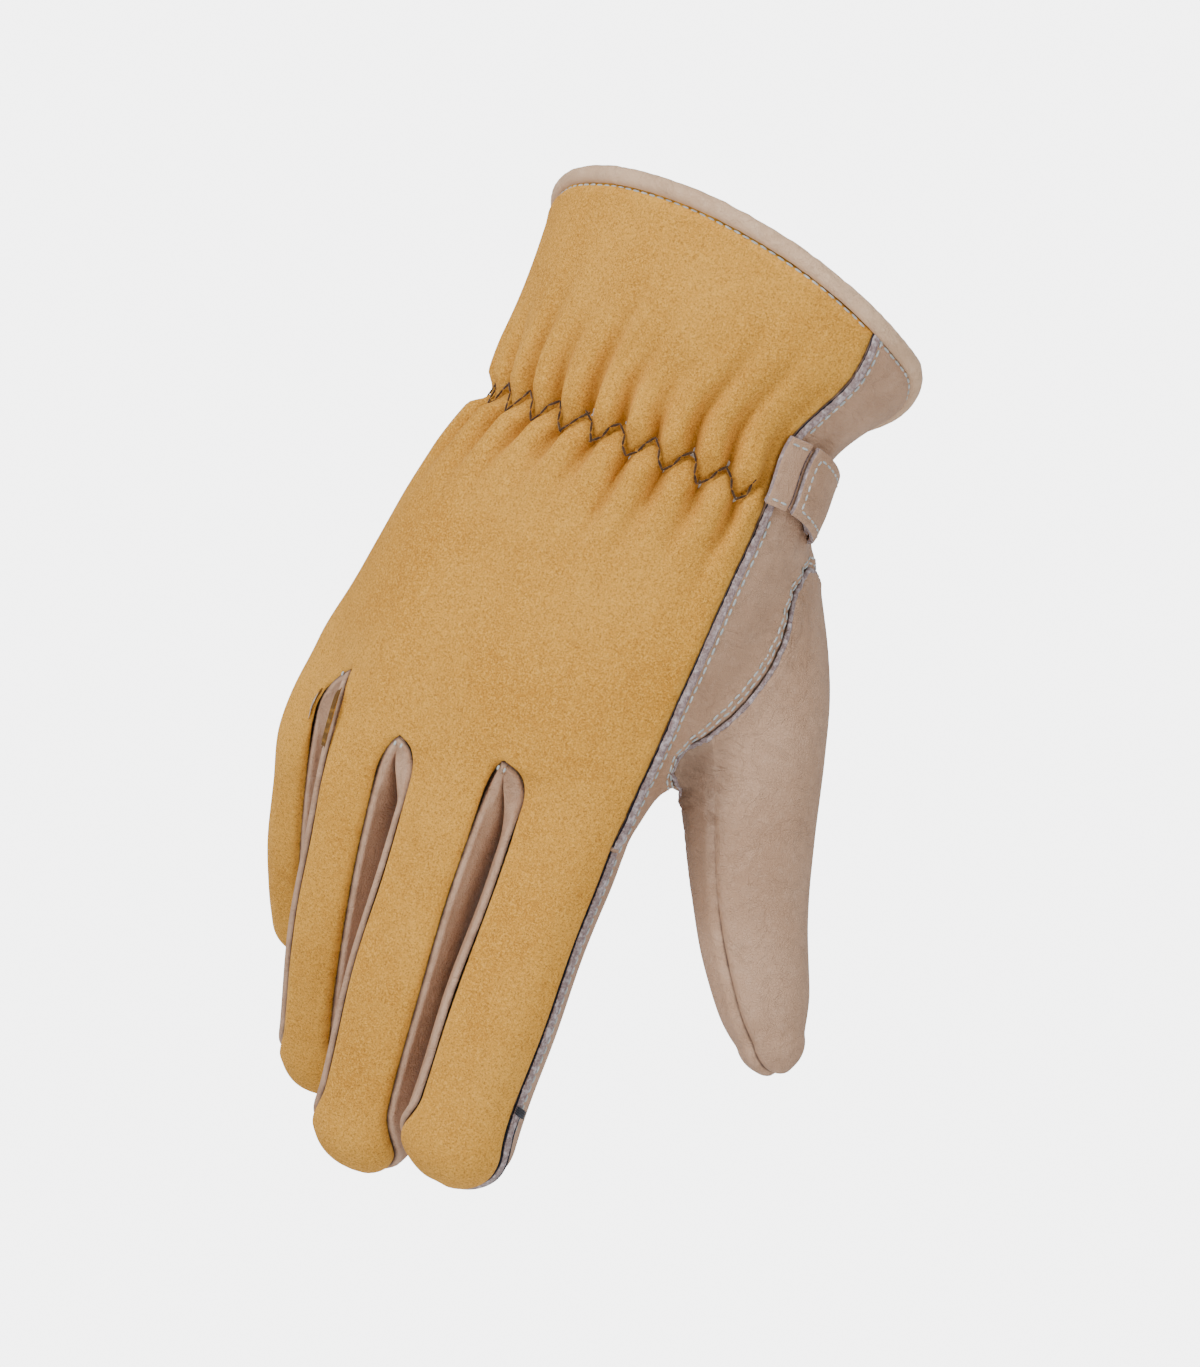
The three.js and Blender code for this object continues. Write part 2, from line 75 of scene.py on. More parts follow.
def makeCamera(look):
    azimuth = math.radians(look["azimuth"])
    right = Vector((math.cos(azimuth), math.sin(azimuth), 0))
    back = Vector((math.sin(azimuth), -math.cos(azimuth), 0))
    up = Vector((0, 0, 1))
    lean = math.radians(look["lean"])
    camRight = right * math.cos(lean) + up * math.sin(lean)
    camUp = up * math.cos(lean) - right * math.sin(lean)
    aim = Vector(look["aim"]) + right * look["aimShift"][0] + up * look["aimShift"][1]
    place = (aim + back * look["distance"]) * mm
    camera = bpy.data.cameras.new("camera")
    camera.sensor_fit = "VERTICAL"
    camera.sensor_height = 24.0
    camera.lens = camera.sensor_height * look["distance"] / look["frameHeight"]
    camera.clip_start = 0.05
    camera.clip_end = 20.0
    cameraObject = bpy.data.objects.new("camera", camera)
    turn = Matrix((camRight, camUp, back)).transposed().to_4x4()
    cameraObject.matrix_world = Matrix.Translation(place) @ turn
    bpy.context.scene.collection.objects.link(cameraObject)
    bpy.context.scene.camera = cameraObject


makeCamera(cameraLook)

studio = {
    "floorDrop": 0.30,      # metres below the fingertips
    "paper": (0.93, 0.93, 0.935, 1.0),
    "paperSeen": 5.8,       # how bright the paper and the backdrop show
    "paperLight": 0.52,     # how much light they give
    "keyPower": 21.0,
    "fillPower": 5.5,
    "rimPower": 3.0,
}


def makeLight(name, place, target, size, power):
    light = bpy.data.lights.new(name, "AREA")
    light.shape = "DISK"
    light.size = size
    light.energy = power
    lightObject = bpy.data.objects.new(name, light)
    lightObject.location = place
    aim = Vector(target) - Vector(place)
    lightObject.rotation_euler = aim.to_track_quat("-Z", "Y").to_euler()
    bpy.context.scene.collection.objects.link(lightObject)


def seenAndLit(tree, seenShader, litShader, output):
    path = tree.nodes.new("ShaderNodeLightPath")
    blend = tree.nodes.new("ShaderNodeMixShader")
    tree.links.new(path.outputs["Is Camera Ray"], blend.inputs[0])
    tree.links.new(litShader.outputs[0], blend.inputs[1])
    tree.links.new(seenShader.outputs[0], blend.inputs[2])
    tree.links.new(blend.outputs[0], output.inputs["Surface"])


def makeBackdrop(look):
    world = bpy.data.worlds.new("studioWorld")
    world.use_nodes = True
    tree = world.node_tree
    lit = tree.nodes["Background"]
    lit.inputs["Color"].default_value = (1.0, 1.0, 1.0, 1.0)
    lit.inputs["Strength"].default_value = look["paperLight"]
    seen = tree.nodes.new("ShaderNodeBackground")
    seen.inputs["Color"].default_value = look["paper"]
    seen.inputs["Strength"].default_value = look["paperSeen"]
    seenAndLit(tree, seen, lit, tree.nodes["World Output"])
    bpy.context.scene.world = world


def makeFloor(look):
    level = cadBox[0][2] - look["floorDrop"]
    half = 40.0
    mesh = bpy.data.meshes.new("floor")
    mesh.from_pydata(
        [(-half, -half, level), (half, -half, level), (half, half, level), (-half, half, level)],
        [], [(0, 1, 2, 3)])
    floor = bpy.data.objects.new("floor", mesh)
    bpy.context.scene.collection.objects.link(floor)
    paper = bpy.data.materials.new("floorPaper")
    paper.use_nodes = True
    tree = paper.node_tree
    shader = tree.nodes["Principled BSDF"]
    shader.inputs["Base Color"].default_value = look["paper"]
    shader.inputs["Roughness"].default_value = 0.9
    seen = tree.nodes.new("ShaderNodeEmission")
    seen.inputs["Color"].default_value = look["paper"]
    seen.inputs["Strength"].default_value = look["paperSeen"]
    seenAndLit(tree, seen, shader, tree.nodes["Material Output"])
    mesh.materials.append(paper)


makeBackdrop(studio)
makeFloor(studio)
lightAim = (-0.01, 0.0, -0.11)
makeLight("keyLight", (-0.55, -1.25, 0.75), lightAim, 0.7, studio["keyPower"])
makeLight("fillLight", (1.2, -0.7, 0.05), lightAim, 0.9, studio["fillPower"])
makeLight("rimLight", (0.3, 1.2, 0.8), lightAim, 0.8, studio["rimPower"])
print("studio ready")


# the hand form
handRows = [  # level, centre x, centre y, half width, half thickness, squareness, in mm
    (16, -0.8, 0, 51.7, 32.5, 2.0), (-9, -0.8, 0, 50.4, 31.0, 2.0), (-28, -6.3, 0, 44.7, 26.0, 2.0),
    (-42, -6.3, 0, 44.3, 24.0, 2.0), (-60, -10.6, 0, 47.6, 23.0, 2.1), (-84, -15.2, -1, 50.3, 21.0, 2.2),
    (-98, -18.5, -2, 50.8, 19.5, 2.3), (-113, -22.0, -2.5, 51.5, 17.5, 2.4),
    (-136, -24.6, -2.5, 51.2, 13.6, 2.8),
]
seamRows = [(16, -31), (-42, -28), (-84, -25), (-113, -12.5), (-136, -9)]
fingerBase = -136.0
heelDrop = 15.6

fingers = {
    "index": {"x": 11.8, "y": 0.0, "rx": 14.2, "ry": 12.4, "length": 88.0, "curl": (2, 10),
              "back": (-34, 80), "palm": (80, 235)},
    "middle": {"x": -16.4, "y": -3.5, "rx": 13.0, "ry": 12.2, "length": 97.0, "curl": (6, 24),
               "back": (-42, 46), "palm": (125, 238)},
    "ring": {"x": -42.4, "y": -3.0, "rx": 10.6, "ry": 11.6, "length": 92.0, "curl": (18, 40),
             "back": (-40, 38), "palm": (125, 235)},
    "little": {"x": -66.0, "y": 13.5, "rx": 9.4, "ry": 10.2, "length": 66.0, "curl": (28, 52),
               "back": (-100, 18), "palm": (122, 260)},
}
laneOrder = ["index", "middle", "ring", "little"]  # from the thumb side
slits = [  # crotch between two fingers: level on the back of the hand and on the palm
    {"name": "index_middle", "right": "index", "left": "middle", "backTop": -124.0, "palmTop": -133.0},
    {"name": "middle_ring", "right": "middle", "left": "ring", "backTop": -128.0, "palmTop": -133.5},
    {"name": "ring_little", "right": "ring", "left": "little", "backTop": -117.5, "palmTop": -132.0},
]


def smoothStep(t):
    t = np.clip(t, 0.0, 1.0)
    return t * t * (3 - 2 * t)


def mix(a, b, t):
    return a + (b - a) * t


def valueAt(rows, column, level):
    table = np.array(rows, float)
    z = table[:, 0]
    v = table[:, column]
    k = np.clip(np.searchsorted(-z, -level, side="left"), 1, len(z) - 1)
    p, q = k - 1, k
    before, after = np.maximum(p - 1, 0), np.minimum(q + 1, len(z) - 1)
    span = z[q] - z[p]
    t = np.clip((level - z[p]) / span, 0, 1)
    slopeIn = (v[q] - v[before]) / (z[q] - z[before]) * span
    slopeOut = (v[after] - v[p]) / (z[after] - z[p]) * span
    stretch = t * t * (3 - 2 * t)
    return mix(v[p], v[q], stretch) + t * (1 - t) * ((1 - t) * slopeIn - t * slopeOut)


# distance from the start of a line of points to each of them
def runAlong(path):
    return np.concatenate([[0], np.cumsum(np.linalg.norm(np.diff(path, axis=0), axis=1))])


def power(value, exponent):
    return np.sign(value) * np.abs(value) ** exponent


def handPoint(angle, z, proud=0.0):
    level = np.clip(z, handRows[-1][0], handRows[0][0])
    cx, cy, a, b, n = [valueAt(handRows, c, level) for c in range(1, 6)]
    c, s = np.cos(np.radians(angle)), np.sin(np.radians(angle))
    x = cx + (a + proud) * power(c, 2 / n)
    drop = heelDrop * smoothStep((z + 42) / (fingerBase + 42)) * smoothStep((-38 - x) / 30)
    y = cy + drop + (b + proud) * power(s, 2 / n)
    return np.stack([x, y, z + 0 * x], -1)


def rimLevel(angle):
    turn = (np.asarray(angle, float) + 180) % 360 - 180
    level = -16 * np.sin(np.radians(turn)) - 4 * np.cos(np.radians(turn))
    return level + 2.0 * np.exp(-((turn - 2) / 18) ** 2) - 5.5 * np.exp(-((turn - 50) / 26) ** 2)


def seamAngle(z):
    return valueAt(seamRows, 1, np.clip(z, -136, 16))


def fingerCentre(f, s):
    s = np.asarray(s, float)
    y = np.full(s.shape, f["y"])
    z = np.full(s.shape, fingerBase)
    steps = 16
    for i in range(steps):
        along = s * (i + 0.5) / steps
        curl = np.radians(mix(f["curl"][0], f["curl"][1], along / f["length"]))
        y = y + np.sin(curl) * s / steps
        z = z - np.cos(curl) * s / steps
    return np.stack([np.full(s.shape, f["x"]), y, z], -1)


def fingerPoint(f, turn, s, proud=0.0):
    turn, s = np.broadcast_arrays(np.asarray(turn, float), np.asarray(s, float))
    tipLength = f["ry"] * 1.05
    over = np.clip((s - (f["length"] - tipLength)) / tipLength, 0, 1)
    shrink = np.sqrt(np.maximum(0.0, 1 - over * over))
    along = np.clip(s / f["length"], 0, 1)
    girth = 1.0 - 0.05 * along + 0.02 * np.cos(2 * math.pi * (along * 1.9 + 0.08))
    curl = np.radians(mix(f["curl"][0], f["curl"][1], s / f["length"]))
    t = np.radians(turn)
    across = (f["rx"] * girth + proud) * shrink * power(np.sin(t), 0.8)
    deep = -(f["ry"] * girth + proud) * shrink * power(np.cos(t), 0.8)
    centre = fingerCentre(f, s)
    return centre + np.stack([across, deep * np.cos(curl), deep * np.sin(curl)], -1)


def slitX(slit):
    left, right = fingers[slit["left"]], fingers[slit["right"]]
    return (left["x"] + left["rx"] + right["x"] - right["rx"]) / 2


def angleAtX(x, z, side):
    z = np.asarray(z, float)
    cx, a, n = valueAt(handRows, 1, z), valueAt(handRows, 3, z), valueAt(handRows, 5, z)
    c = power(np.clip((x - cx) / a, -1, 1), n / 2)
    return side * np.degrees(np.arccos(np.clip(c, -1, 1)))


laneCutLevel = -124.0


def laneEdges(z, side):
    seam = seamAngle(z)
    seamCut = seamAngle(np.array(laneCutLevel))
    far = 180.0 * side
    edges = [seam]
    for slit in slits:
        atCut = angleAtX(slitX(slit), laneCutLevel, side)
        share = (atCut - seamCut) / (far - seamCut)
        edges.append(mix(seam, far, share))
    edges.append(far + 0 * seam)
    return edges


slitRun = 8.0    # how far below its top the slit in the back leather reaches its full width, mm
foldRun = 15.0   # how far below its top the folded strip inside it is fully open, mm


def openAt(topLevel, z, run=slitRun):
    t = np.clip((topLevel - z) / run, 0, 1)
    return np.sqrt(np.maximum(0, 1 - (1 - t) ** 2))


def lanePoint(lane, side, u, z):
    f = fingers[laneOrder[lane]]
    s = fingerBase - z
    edges = laneEdges(z, side)
    angle = mix(edges[lane], edges[lane + 1], u)
    onHand = handPoint(angle, z)
    span = f["back"] if side < 0 else f["palm"]
    high, low = (span[1], span[0]) if side < 0 else (span[0], span[1])
    tipHigh, tipLow = (88, -88) if side < 0 else (92, 268)
    widen = smoothStep((s / f["length"] - 0.78) / 0.2)
    turn = mix(mix(high, tipHigh, widen), mix(low, tipLow, widen), u)
    onFinger = fingerPoint(f, turn, s)
    topKey = "backTop" if side < 0 else "palmTop"
    rightTop = slits[lane - 1][topKey] if lane > 0 else None
    leftTop = slits[lane][topKey] if lane < 3 else None
    soft = smoothStep((-114 - z) / 34)
    rightOpen = openAt(rightTop, z) if rightTop is not None else soft
    leftOpen = openAt(leftTop, z) if leftTop is not None else soft
    nearRight = np.clip(1 - u / 0.5, 0, 1) ** 2.2
    nearLeft = np.clip((u - 0.5) / 0.5, 0, 1) ** 2.2
    w = soft * (1 - nearRight - nearLeft) + rightOpen * nearRight + leftOpen * nearLeft
    return mix(onHand, onFinger, w[..., None])


def wallPoint(slit, onLeft, b, r):
    f = fingers[slit["left"] if onLeft else slit["right"]]
    top = mix(slit["backTop"], slit["palmTop"], b)
    z = top - r
    s = fingerBase - z
    if onLeft:
        low, high = f["back"][1], f["palm"][0]
        tipLow, tipHigh = 88, 92
    else:
        low, high = f["back"][0], f["palm"][1] - 360
        tipLow, tipHigh = -88, -92
    widen = smoothStep((s / f["length"] - 0.78) / 0.2)
    turn = mix(mix(low, tipLow, widen), mix(high, tipHigh, widen), b)
    onFinger = fingerPoint(f, turn, s)
    backEdge = handPoint(laneEdgeAt(slit, -1, z), z)
    palmEdge = handPoint(laneEdgeAt(slit, 1, z), z)
    depth = b ** 1.7 * (1 - smoothStep((b - 0.85) / 0.15)) + smoothStep((b - 0.85) / 0.15) * b
    crease = mix(backEdge, palmEdge, depth[..., None])
    quick = openAt(top, z)
    slow = smoothStep((top - z) / foldRun)
    inside = smoothStep(b / 0.2) * (1 - smoothStep((b - 0.85) / 0.15))
    w = mix(quick, slow, inside)
    return mix(crease, onFinger, w[..., None])


def laneEdgeAt(slit, side, z):
    return laneEdges(z, side)[slits.index(slit) + 1]


# settling the skin where the thumb joins the hand
thumbRows = [  # centre line and radius, mm
    (12, 16, -44, 13.0), (26.5, 20, -64, 14.5), (36.0, 21, -82, 15.2), (41.5, 20, -98, 15.8),
    (48.0, 19.5, -118, 15.2), (56.4, 20.5, -138, 13.2), (65.4, 22.9, -154, 11.0), (70.4, 24.5, -162, 8.0),
]
webReach = 17.0  # how widely the palm leather draws out towards the thumb, mm


def thumbLine(t):
    rows = np.array(thumbRows, float)
    t = np.clip(np.asarray(t, float), 0, 1) * (len(rows) - 1)
    k = np.clip(t.astype(int), 0, len(rows) - 2)
    w = (t - k)[..., None]
    p0, p1 = rows[np.maximum(k - 1, 0)], rows[k]
    p2, p3 = rows[k + 1], rows[np.minimum(k + 2, len(rows) - 1)]
    return 0.5 * (2 * p1 + (p2 - p0) * w + (2 * p0 - 5 * p1 + 4 * p2 - p3) * w ** 2
                  + (3 * p1 - p0 - 3 * p2 + p3) * w ** 3)


thumbSamples = thumbLine(np.linspace(0, 1, 160))
thumbArc = runAlong(thumbSamples[:, :3])
thumbLength = thumbArc[-1]


def thumbAt(s):
    s = np.asarray(s, float)
    inside = np.clip(s, 0, thumbLength)
    row = np.stack([np.interp(inside, thumbArc, thumbSamples[:, c]) for c in range(4)], -1)
    ahead, behind = np.clip(inside + 1, 0, thumbLength), np.clip(inside - 1, 0, thumbLength)
    axes = [thumbSamples[:, c] for c in range(3)]
    along = np.stack([np.interp(ahead, thumbArc, axis) - np.interp(behind, thumbArc, axis) for axis in axes], -1)
    along /= np.linalg.norm(along, axis=-1, keepdims=True)
    inner = np.cross(np.array([0.0, 1.0, 0.0]), along)
    inner /= np.linalg.norm(inner, axis=-1, keepdims=True)
    palmward = np.cross(along, inner)
    centre = row[..., :3] + along * np.maximum(0, s - thumbLength)[..., None]
    return centre, along, inner, palmward, row[..., 3]


def thumbPoint(angle, s):
    angle, s = np.broadcast_arrays(np.asarray(angle, float), np.asarray(s, float))
    centre, along, inner, palmward, r = thumbAt(s)
    over = np.clip((s - thumbLength) / r, 0, 1)
    girth = r * np.sqrt(np.maximum(0, 1 - over ** 2))
    girth = girth * (1 + 0.025 * np.cos(np.radians(2 * angle)))
    c, w = np.cos(np.radians(angle)), np.sin(np.radians(angle))
    return centre + inner * (girth * c)[..., None] + palmward * (girth * w)[..., None]


def handReach(p):
    z = np.clip(p[:, 2], -136, 16)
    cx, cy, a, b, n = [valueAt(handRows, c, z) for c in range(1, 6)]
    drop = heelDrop * smoothStep((z + 42) / (fingerBase + 42)) * smoothStep((-38 - p[:, 0]) / 30)
    q = (np.abs((p[:, 0] - cx) / a) ** n + np.abs((p[:, 1] - cy - drop) / b) ** n) ** (1 / n)
    return q


def gradientOf(field, p, step=0.4):
    g = np.zeros_like(p)
    for axis in range(3):
        shift = np.zeros(3)
        shift[axis] = step
        g[:, axis] = (field(p + shift) - field(p - shift)) / (2 * step)
    return g


def handDistance(p):
    slope = np.linalg.norm(gradientOf(handReach, p), axis=1)
    return (handReach(p) - 1) / np.maximum(slope, 1e-4)


def thumbDistance(p):
    nearest = np.full(len(p), 1e9)
    for row in thumbSamples[::2]:
        nearest = np.minimum(nearest, np.linalg.norm(p - row[:3], axis=1) - row[3])
    return nearest


def skinDistance(p):
    a, b = handDistance(p), thumbDistance(p)
    h = np.clip(0.5 + 0.5 * (b - a) / webReach, 0, 1)
    return mix(b, a, h) - webReach * h * (1 - h)


# draws points onto the common skin of hand and thumb
def settle(p):
    p = p.copy()
    near = np.where((thumbDistance(p) < webReach + 4) & (p[:, 2] > -134) & (p[:, 2] < -20))[0]
    q = p[near]
    for _ in range(7):
        g = gradientOf(skinDistance, q)
        step = g * (skinDistance(q) / np.maximum((g ** 2).sum(1), 0.12))[:, None]
        size = np.linalg.norm(step, axis=1, keepdims=True)
        q = q - step * np.minimum(1, 3.0 / np.maximum(size, 1e-9))
    fade = smoothStep((p[near, 2] + 134) / 9)[:, None]
    p[near] = mix(p[near], q, fade)
    return p


thumbSeamRows = [  # height, and how far out the seam round the thumb runs on the back and on the palm, mm
    (-46, 60, 58), (-50, 54.5, 48), (-54, 49, 36), (-58, 43.5, 27), (-60.5, 40.8, 23.5),
    (-64, 41.3, 19.8), (-68.6, 42.1, 17.5), (-75, 42.5, 18), (-81, 42.4, 20.5), (-90.7, 40.4, 23.8),
    (-98.3, 36.9, 25.2), (-105.4, 32.8, 26.2), (-110, 31.2, 26.9), (-114, 31, 27.5), (-120, 33, 28.2),
    (-130, 35, 29), (-145, 40, 30),
]


def seamOut(p):
    z = np.clip(p[:, 2], -145, -46)
    return mix(valueAt(thumbSeamRows, 1, z), valueAt(thumbSeamRows, 2, z), smoothStep((p[:, 1] - 7) / 8))


# positive on the hand's side of the seam round the thumb, negative on the thumb's side
def handSide(p):
    return seamOut(p) - p[:, 0]


# from each start along its own direction to the common skin
def drawnOut(start, way, begin=0.0, limit=32.0):
    t = np.full(len(start), begin)
    for _ in range(34):
        t = np.clip(t - skinDistance(start + way * t[:, None]), -limit, limit)
    return start + way * t[:, None]


def drawHandOut(p):
    p = p.copy()
    near = np.where((thumbDistance(p) < webReach + 4) & (p[:, 2] > -134) & (p[:, 2] < -20))[0]
    q = p[near]
    way = gradientOf(handReach, q)
    way /= np.maximum(np.linalg.norm(way, axis=1, keepdims=True), 1e-6)
    out = drawnOut(q, way)
    p[near] = mix(q, out, smoothStep((q[:, 2] + 134) / 9)[:, None])
    return p


def thumbSkin(angle, s):
    angle, s = np.broadcast_arrays(np.asarray(angle, float), np.asarray(s, float))
    shape = angle.shape
    angle, s = angle.ravel(), s.ravel()
    p = thumbPoint(angle, s)
    near = np.where(s < 112)[0]
    centre = thumbAt(s[near])[0]
    way = p[near] - centre
    way /= np.linalg.norm(way, axis=1, keepdims=True)
    out = drawnOut(centre, way, 6.0)
    p[near] = mix(out, p[near], smoothStep((s[near] - 94) / 18)[:, None])
    return p.reshape(shape + (3,))


# how far along the thumb the seam lies at each angle round it, found from the tip towards the wrist
def seamStart(angles):
    s = np.arange(104.0, 0.0, -1.0)
    grid = thumbSkin(angles[None, :] + 0 * s[:, None], s[:, None] + 0 * angles[None, :])
    side = handSide(grid.reshape(-1, 3)).reshape(len(s), len(angles))
    first = np.argmax(side > 0, axis=0)
    far, close = s[np.maximum(first - 1, 0)], s[first]
    for _ in range(9):
        middle = (far + close) / 2
        onHand = handSide(thumbSkin(angles, middle)) > 0
        close, far = np.where(onHand, middle, close), np.where(onHand, far, middle)
    return far


# meshes
def newMesh(name, points, faces):
    mesh = bpy.data.meshes.new(name)
    mesh.from_pydata((np.asarray(points) * mm).tolist(), [], faces)
    mesh.validate()
    mesh.polygons.foreach_set("use_smooth", [True] * len(mesh.polygons))
    piece = bpy.data.objects.new(name, mesh)
    bpy.context.scene.collection.objects.link(piece)
    return piece


def pointsOf(piece):
    co = np.zeros(len(piece.data.vertices) * 3, np.float64)
    piece.data.vertices.foreach_get("co", co)
    return co.reshape(-1, 3) / mm


def normalsOf(piece):
    no = np.zeros(len(piece.data.vertices) * 3, np.float64)
    piece.data.vertices.foreach_get("normal", no)
    return no.reshape(-1, 3)


def setPoints(piece, points):
    piece.data.vertices.foreach_set("co", (points * mm).ravel())
    piece.data.update()


def setMask(piece, name, values):
    attribute = piece.data.attributes.get(name) or piece.data.attributes.new(name, "FLOAT", "POINT")
    attribute.data.foreach_set("value", np.asarray(values, np.float32))


def gridFaces(rows, columns, start=0, flip=False):
    faces = []
    for j in range(rows - 1):
        for i in range(columns - 1):
            a = start + j * columns + i
            quad = (a, a + 1, a + 1 + columns, a + columns)
            faces.append(quad[::-1] if flip else quad)
    return faces


def levelsBetween(top, bottom, step):
    count = max(2, int(round(abs(top - bottom) / step)) + 1)
    return np.linspace(top, bottom, count)


# keeps the side where the field is positive
def cutAway(piece, field):
    mesh = piece.data
    values = field(pointsOf(piece))
    bm = bmesh.new()
    bm.from_mesh(mesh)
    bm.verts.ensure_lookup_table()
    level = {v: values[v.index] for v in bm.verts}
    crossing = [e for e in bm.edges if level[e.verts[0]] * level[e.verts[1]] < 0]
    made = []
    for edge in crossing:
        a, b = edge.verts
        share = level[a] / (level[a] - level[b])
        place = a.co.lerp(b.co, share)
        vert = bmesh.utils.edge_split(edge, a, share)[1]
        vert.co = place
        level[vert] = 0.0
        made.append(vert)
    bmesh.ops.connect_verts(bm, verts=made)
    gone = [v for v in bm.verts if level.get(v, 0.0) < 0]
    bmesh.ops.delete(bm, geom=gone, context="VERTS")
    bm.to_mesh(mesh)
    bm.free()
    mesh.polygons.foreach_set("use_smooth", [True] * len(mesh.polygons))


def pointTree(points):
    tree = kdtree.KDTree(len(points))
    for i, p in enumerate(points):
        tree.insert(p, i)
    tree.balance()
    return tree


# draws the cut edge onto the seam line and drops the slivers beside it
def rimOnto(piece, line):
    tree = pointTree(line)
    bm = bmesh.new()
    bm.from_mesh(piece.data)
    edge = []
    for v in bm.verts:
        if v.is_boundary:
            place, _, distance = tree.find(v.co / mm)
            if distance < 5:
                v.co = place * mm
                edge.append(v)
    bmesh.ops.remove_doubles(bm, verts=edge, dist=0.35 * mm)
    bmesh.ops.dissolve_degenerate(bm, edges=bm.edges, dist=0.02 * mm)
    bm.to_mesh(piece.data)
    bm.free()
    piece.data.polygons.foreach_set("use_smooth", [True] * len(piece.data.polygons))


def laneGrid(lane, side, levels, columns, fromRim=False):
    u = np.linspace(0, 1, columns)[None, :] + 0 * levels[:, None]
    z = levels[:, None] + 0 * u
    if fromRim:
        edges = laneEdges(z, side)
        angle = mix(edges[lane], edges[lane + 1], u)
        share = (levels[0] - z) / (levels[0] - levels[-1])
        z = mix(rimLevel(angle), levels[-1], share)
    return lanePoint(lane, side, u, z)


sheetColumns = {-1: {"index": 46, "middle": 36, "ring": 32, "little": 38},
                1: {"index": 60, "middle": 36, "ring": 32, "little": 36}}
fingerCut = -134.0  # level where the hand's leather goes over into each finger's own


def handSheet(side):
    points, faces, start = [], [], 0
    for lane, finger in enumerate(laneOrder):
        columns = sheetColumns[side][finger]
        upper = laneGrid(lane, side, levelsBetween(16, -112, 1.3), columns, fromRim=True)
        lower = laneGrid(lane, side, levelsBetween(-112.6, fingerCut, 0.6), columns)
        grid = np.concatenate([upper, lower])
        points.append(grid.reshape(-1, 3))
        faces += gridFaces(grid.shape[0], columns, start, flip=side > 0)
        start += grid.shape[0] * columns
    piece = newMesh("hand_back_leather" if side < 0 else "hand_palm_leather", np.concatenate(points), faces)
    bm = bmesh.new()
    bm.from_mesh(piece.data)
    bmesh.ops.remove_doubles(bm, verts=bm.verts, dist=0.02 * mm)
    bm.to_mesh(piece.data)
    bm.free()
    return piece


def fingerSheet(finger, side):
    f = fingers[finger]
    end = fingerBase - f["length"] * 0.999
    levels = np.concatenate([levelsBetween(fingerCut, -156, 0.8), levelsBetween(-157, end + 8, 1.2),
                             levelsBetween(end + 7.2, end + 1.2, 0.6), levelsBetween(end + 0.9, end, 0.3)])
    grid = laneGrid(laneOrder.index(finger), side, levels, sheetColumns[side][finger])
    name = ("back_leather_" if side < 0 else "palm_leather_") + finger
    return newMesh(name, grid.reshape(-1, 3), gridFaces(grid.shape[0], grid.shape[1], flip=side > 0))


def wallSheet(slit, onLeft):
    finger = slit["left"] if onLeft else slit["right"]
    end = fingers[finger]["length"] * 0.985
    columns, rows = 26, 130
    b = np.linspace(0, 1, columns) ** 1.25
    top = mix(slit["backTop"], slit["palmTop"], b)
    share = (np.linspace(0, 1, rows) ** 1.5)[:, None]
    r = share * (top[None, :] - (fingerBase - end))
    grid = wallPoint(slit, onLeft, b[None, :] + 0 * r, r)
    name = "fourchette_" + finger + ("_thumb_side_leather" if onLeft else "_little_side_leather")
    return newMesh(name, grid.reshape(-1, 3), gridFaces(rows, columns, flip=onLeft))


def thumbSheet(name, angles):
    tip = thumbRows[-1][3]
    share = np.concatenate([np.linspace(0, 0.06, 7)[:-1], np.linspace(0.06, 1, 96)])[:, None]
    body = mix(seamStart(angles)[None, :], thumbLength - 0.5, share)
    cap = (thumbLength + tip * np.sin(np.linspace(0.04, math.pi / 2, 16)))[:, None] + 0 * angles[None, :]
    s = np.minimum(np.concatenate([body, cap]), thumbLength + tip * 0.9995)
    grid = thumbSkin(angles[None, :] + 0 * s, s)
    piece = newMesh(name, grid.reshape(-1, 3), gridFaces(len(s), len(angles)))
    return piece, grid[0]


handBack = handSheet(-1)
handPalm = handSheet(1)
innerSeam = (-74.0, 54.0)  # where the thumb's two leathers meet, degrees round it
thumbOuter, outerRim = thumbSheet("thumb_outer_leather", np.linspace(innerSeam[1], 360 + innerSeam[0], 100))
thumbInner, innerRim = thumbSheet("thumb_inner_leather", np.linspace(innerSeam[0], innerSeam[1], 60))
seamRing = np.vstack([innerRim[:-1], outerRim[:-1]])
setPoints(handPalm, drawHandOut(pointsOf(handPalm)))
cutAway(handPalm, handSide)
backFingers = {finger: fingerSheet(finger, -1) for finger in laneOrder}
palmFingers = {finger: fingerSheet(finger, 1) for finger in laneOrder}
walls = {}
for slit in slits:
    walls[(slit["left"], "thumb_side")] = wallSheet(slit, True)
    walls[(slit["right"], "little_side")] = wallSheet(slit, False)
print("leather cut and joined")


# seam lines
def evenly(path, pitch, closed=False):
    path = np.asarray(path, float)
    if closed:
        path = np.vstack([path, path[:1]])
    run = runAlong(path)
    count = max(2, int(round(run[-1] / pitch)))
    at = np.linspace(0, run[-1], count + (0 if closed else 1), endpoint=not closed)
    return np.stack([np.interp(at, run, path[:, c]) for c in range(3)], -1)


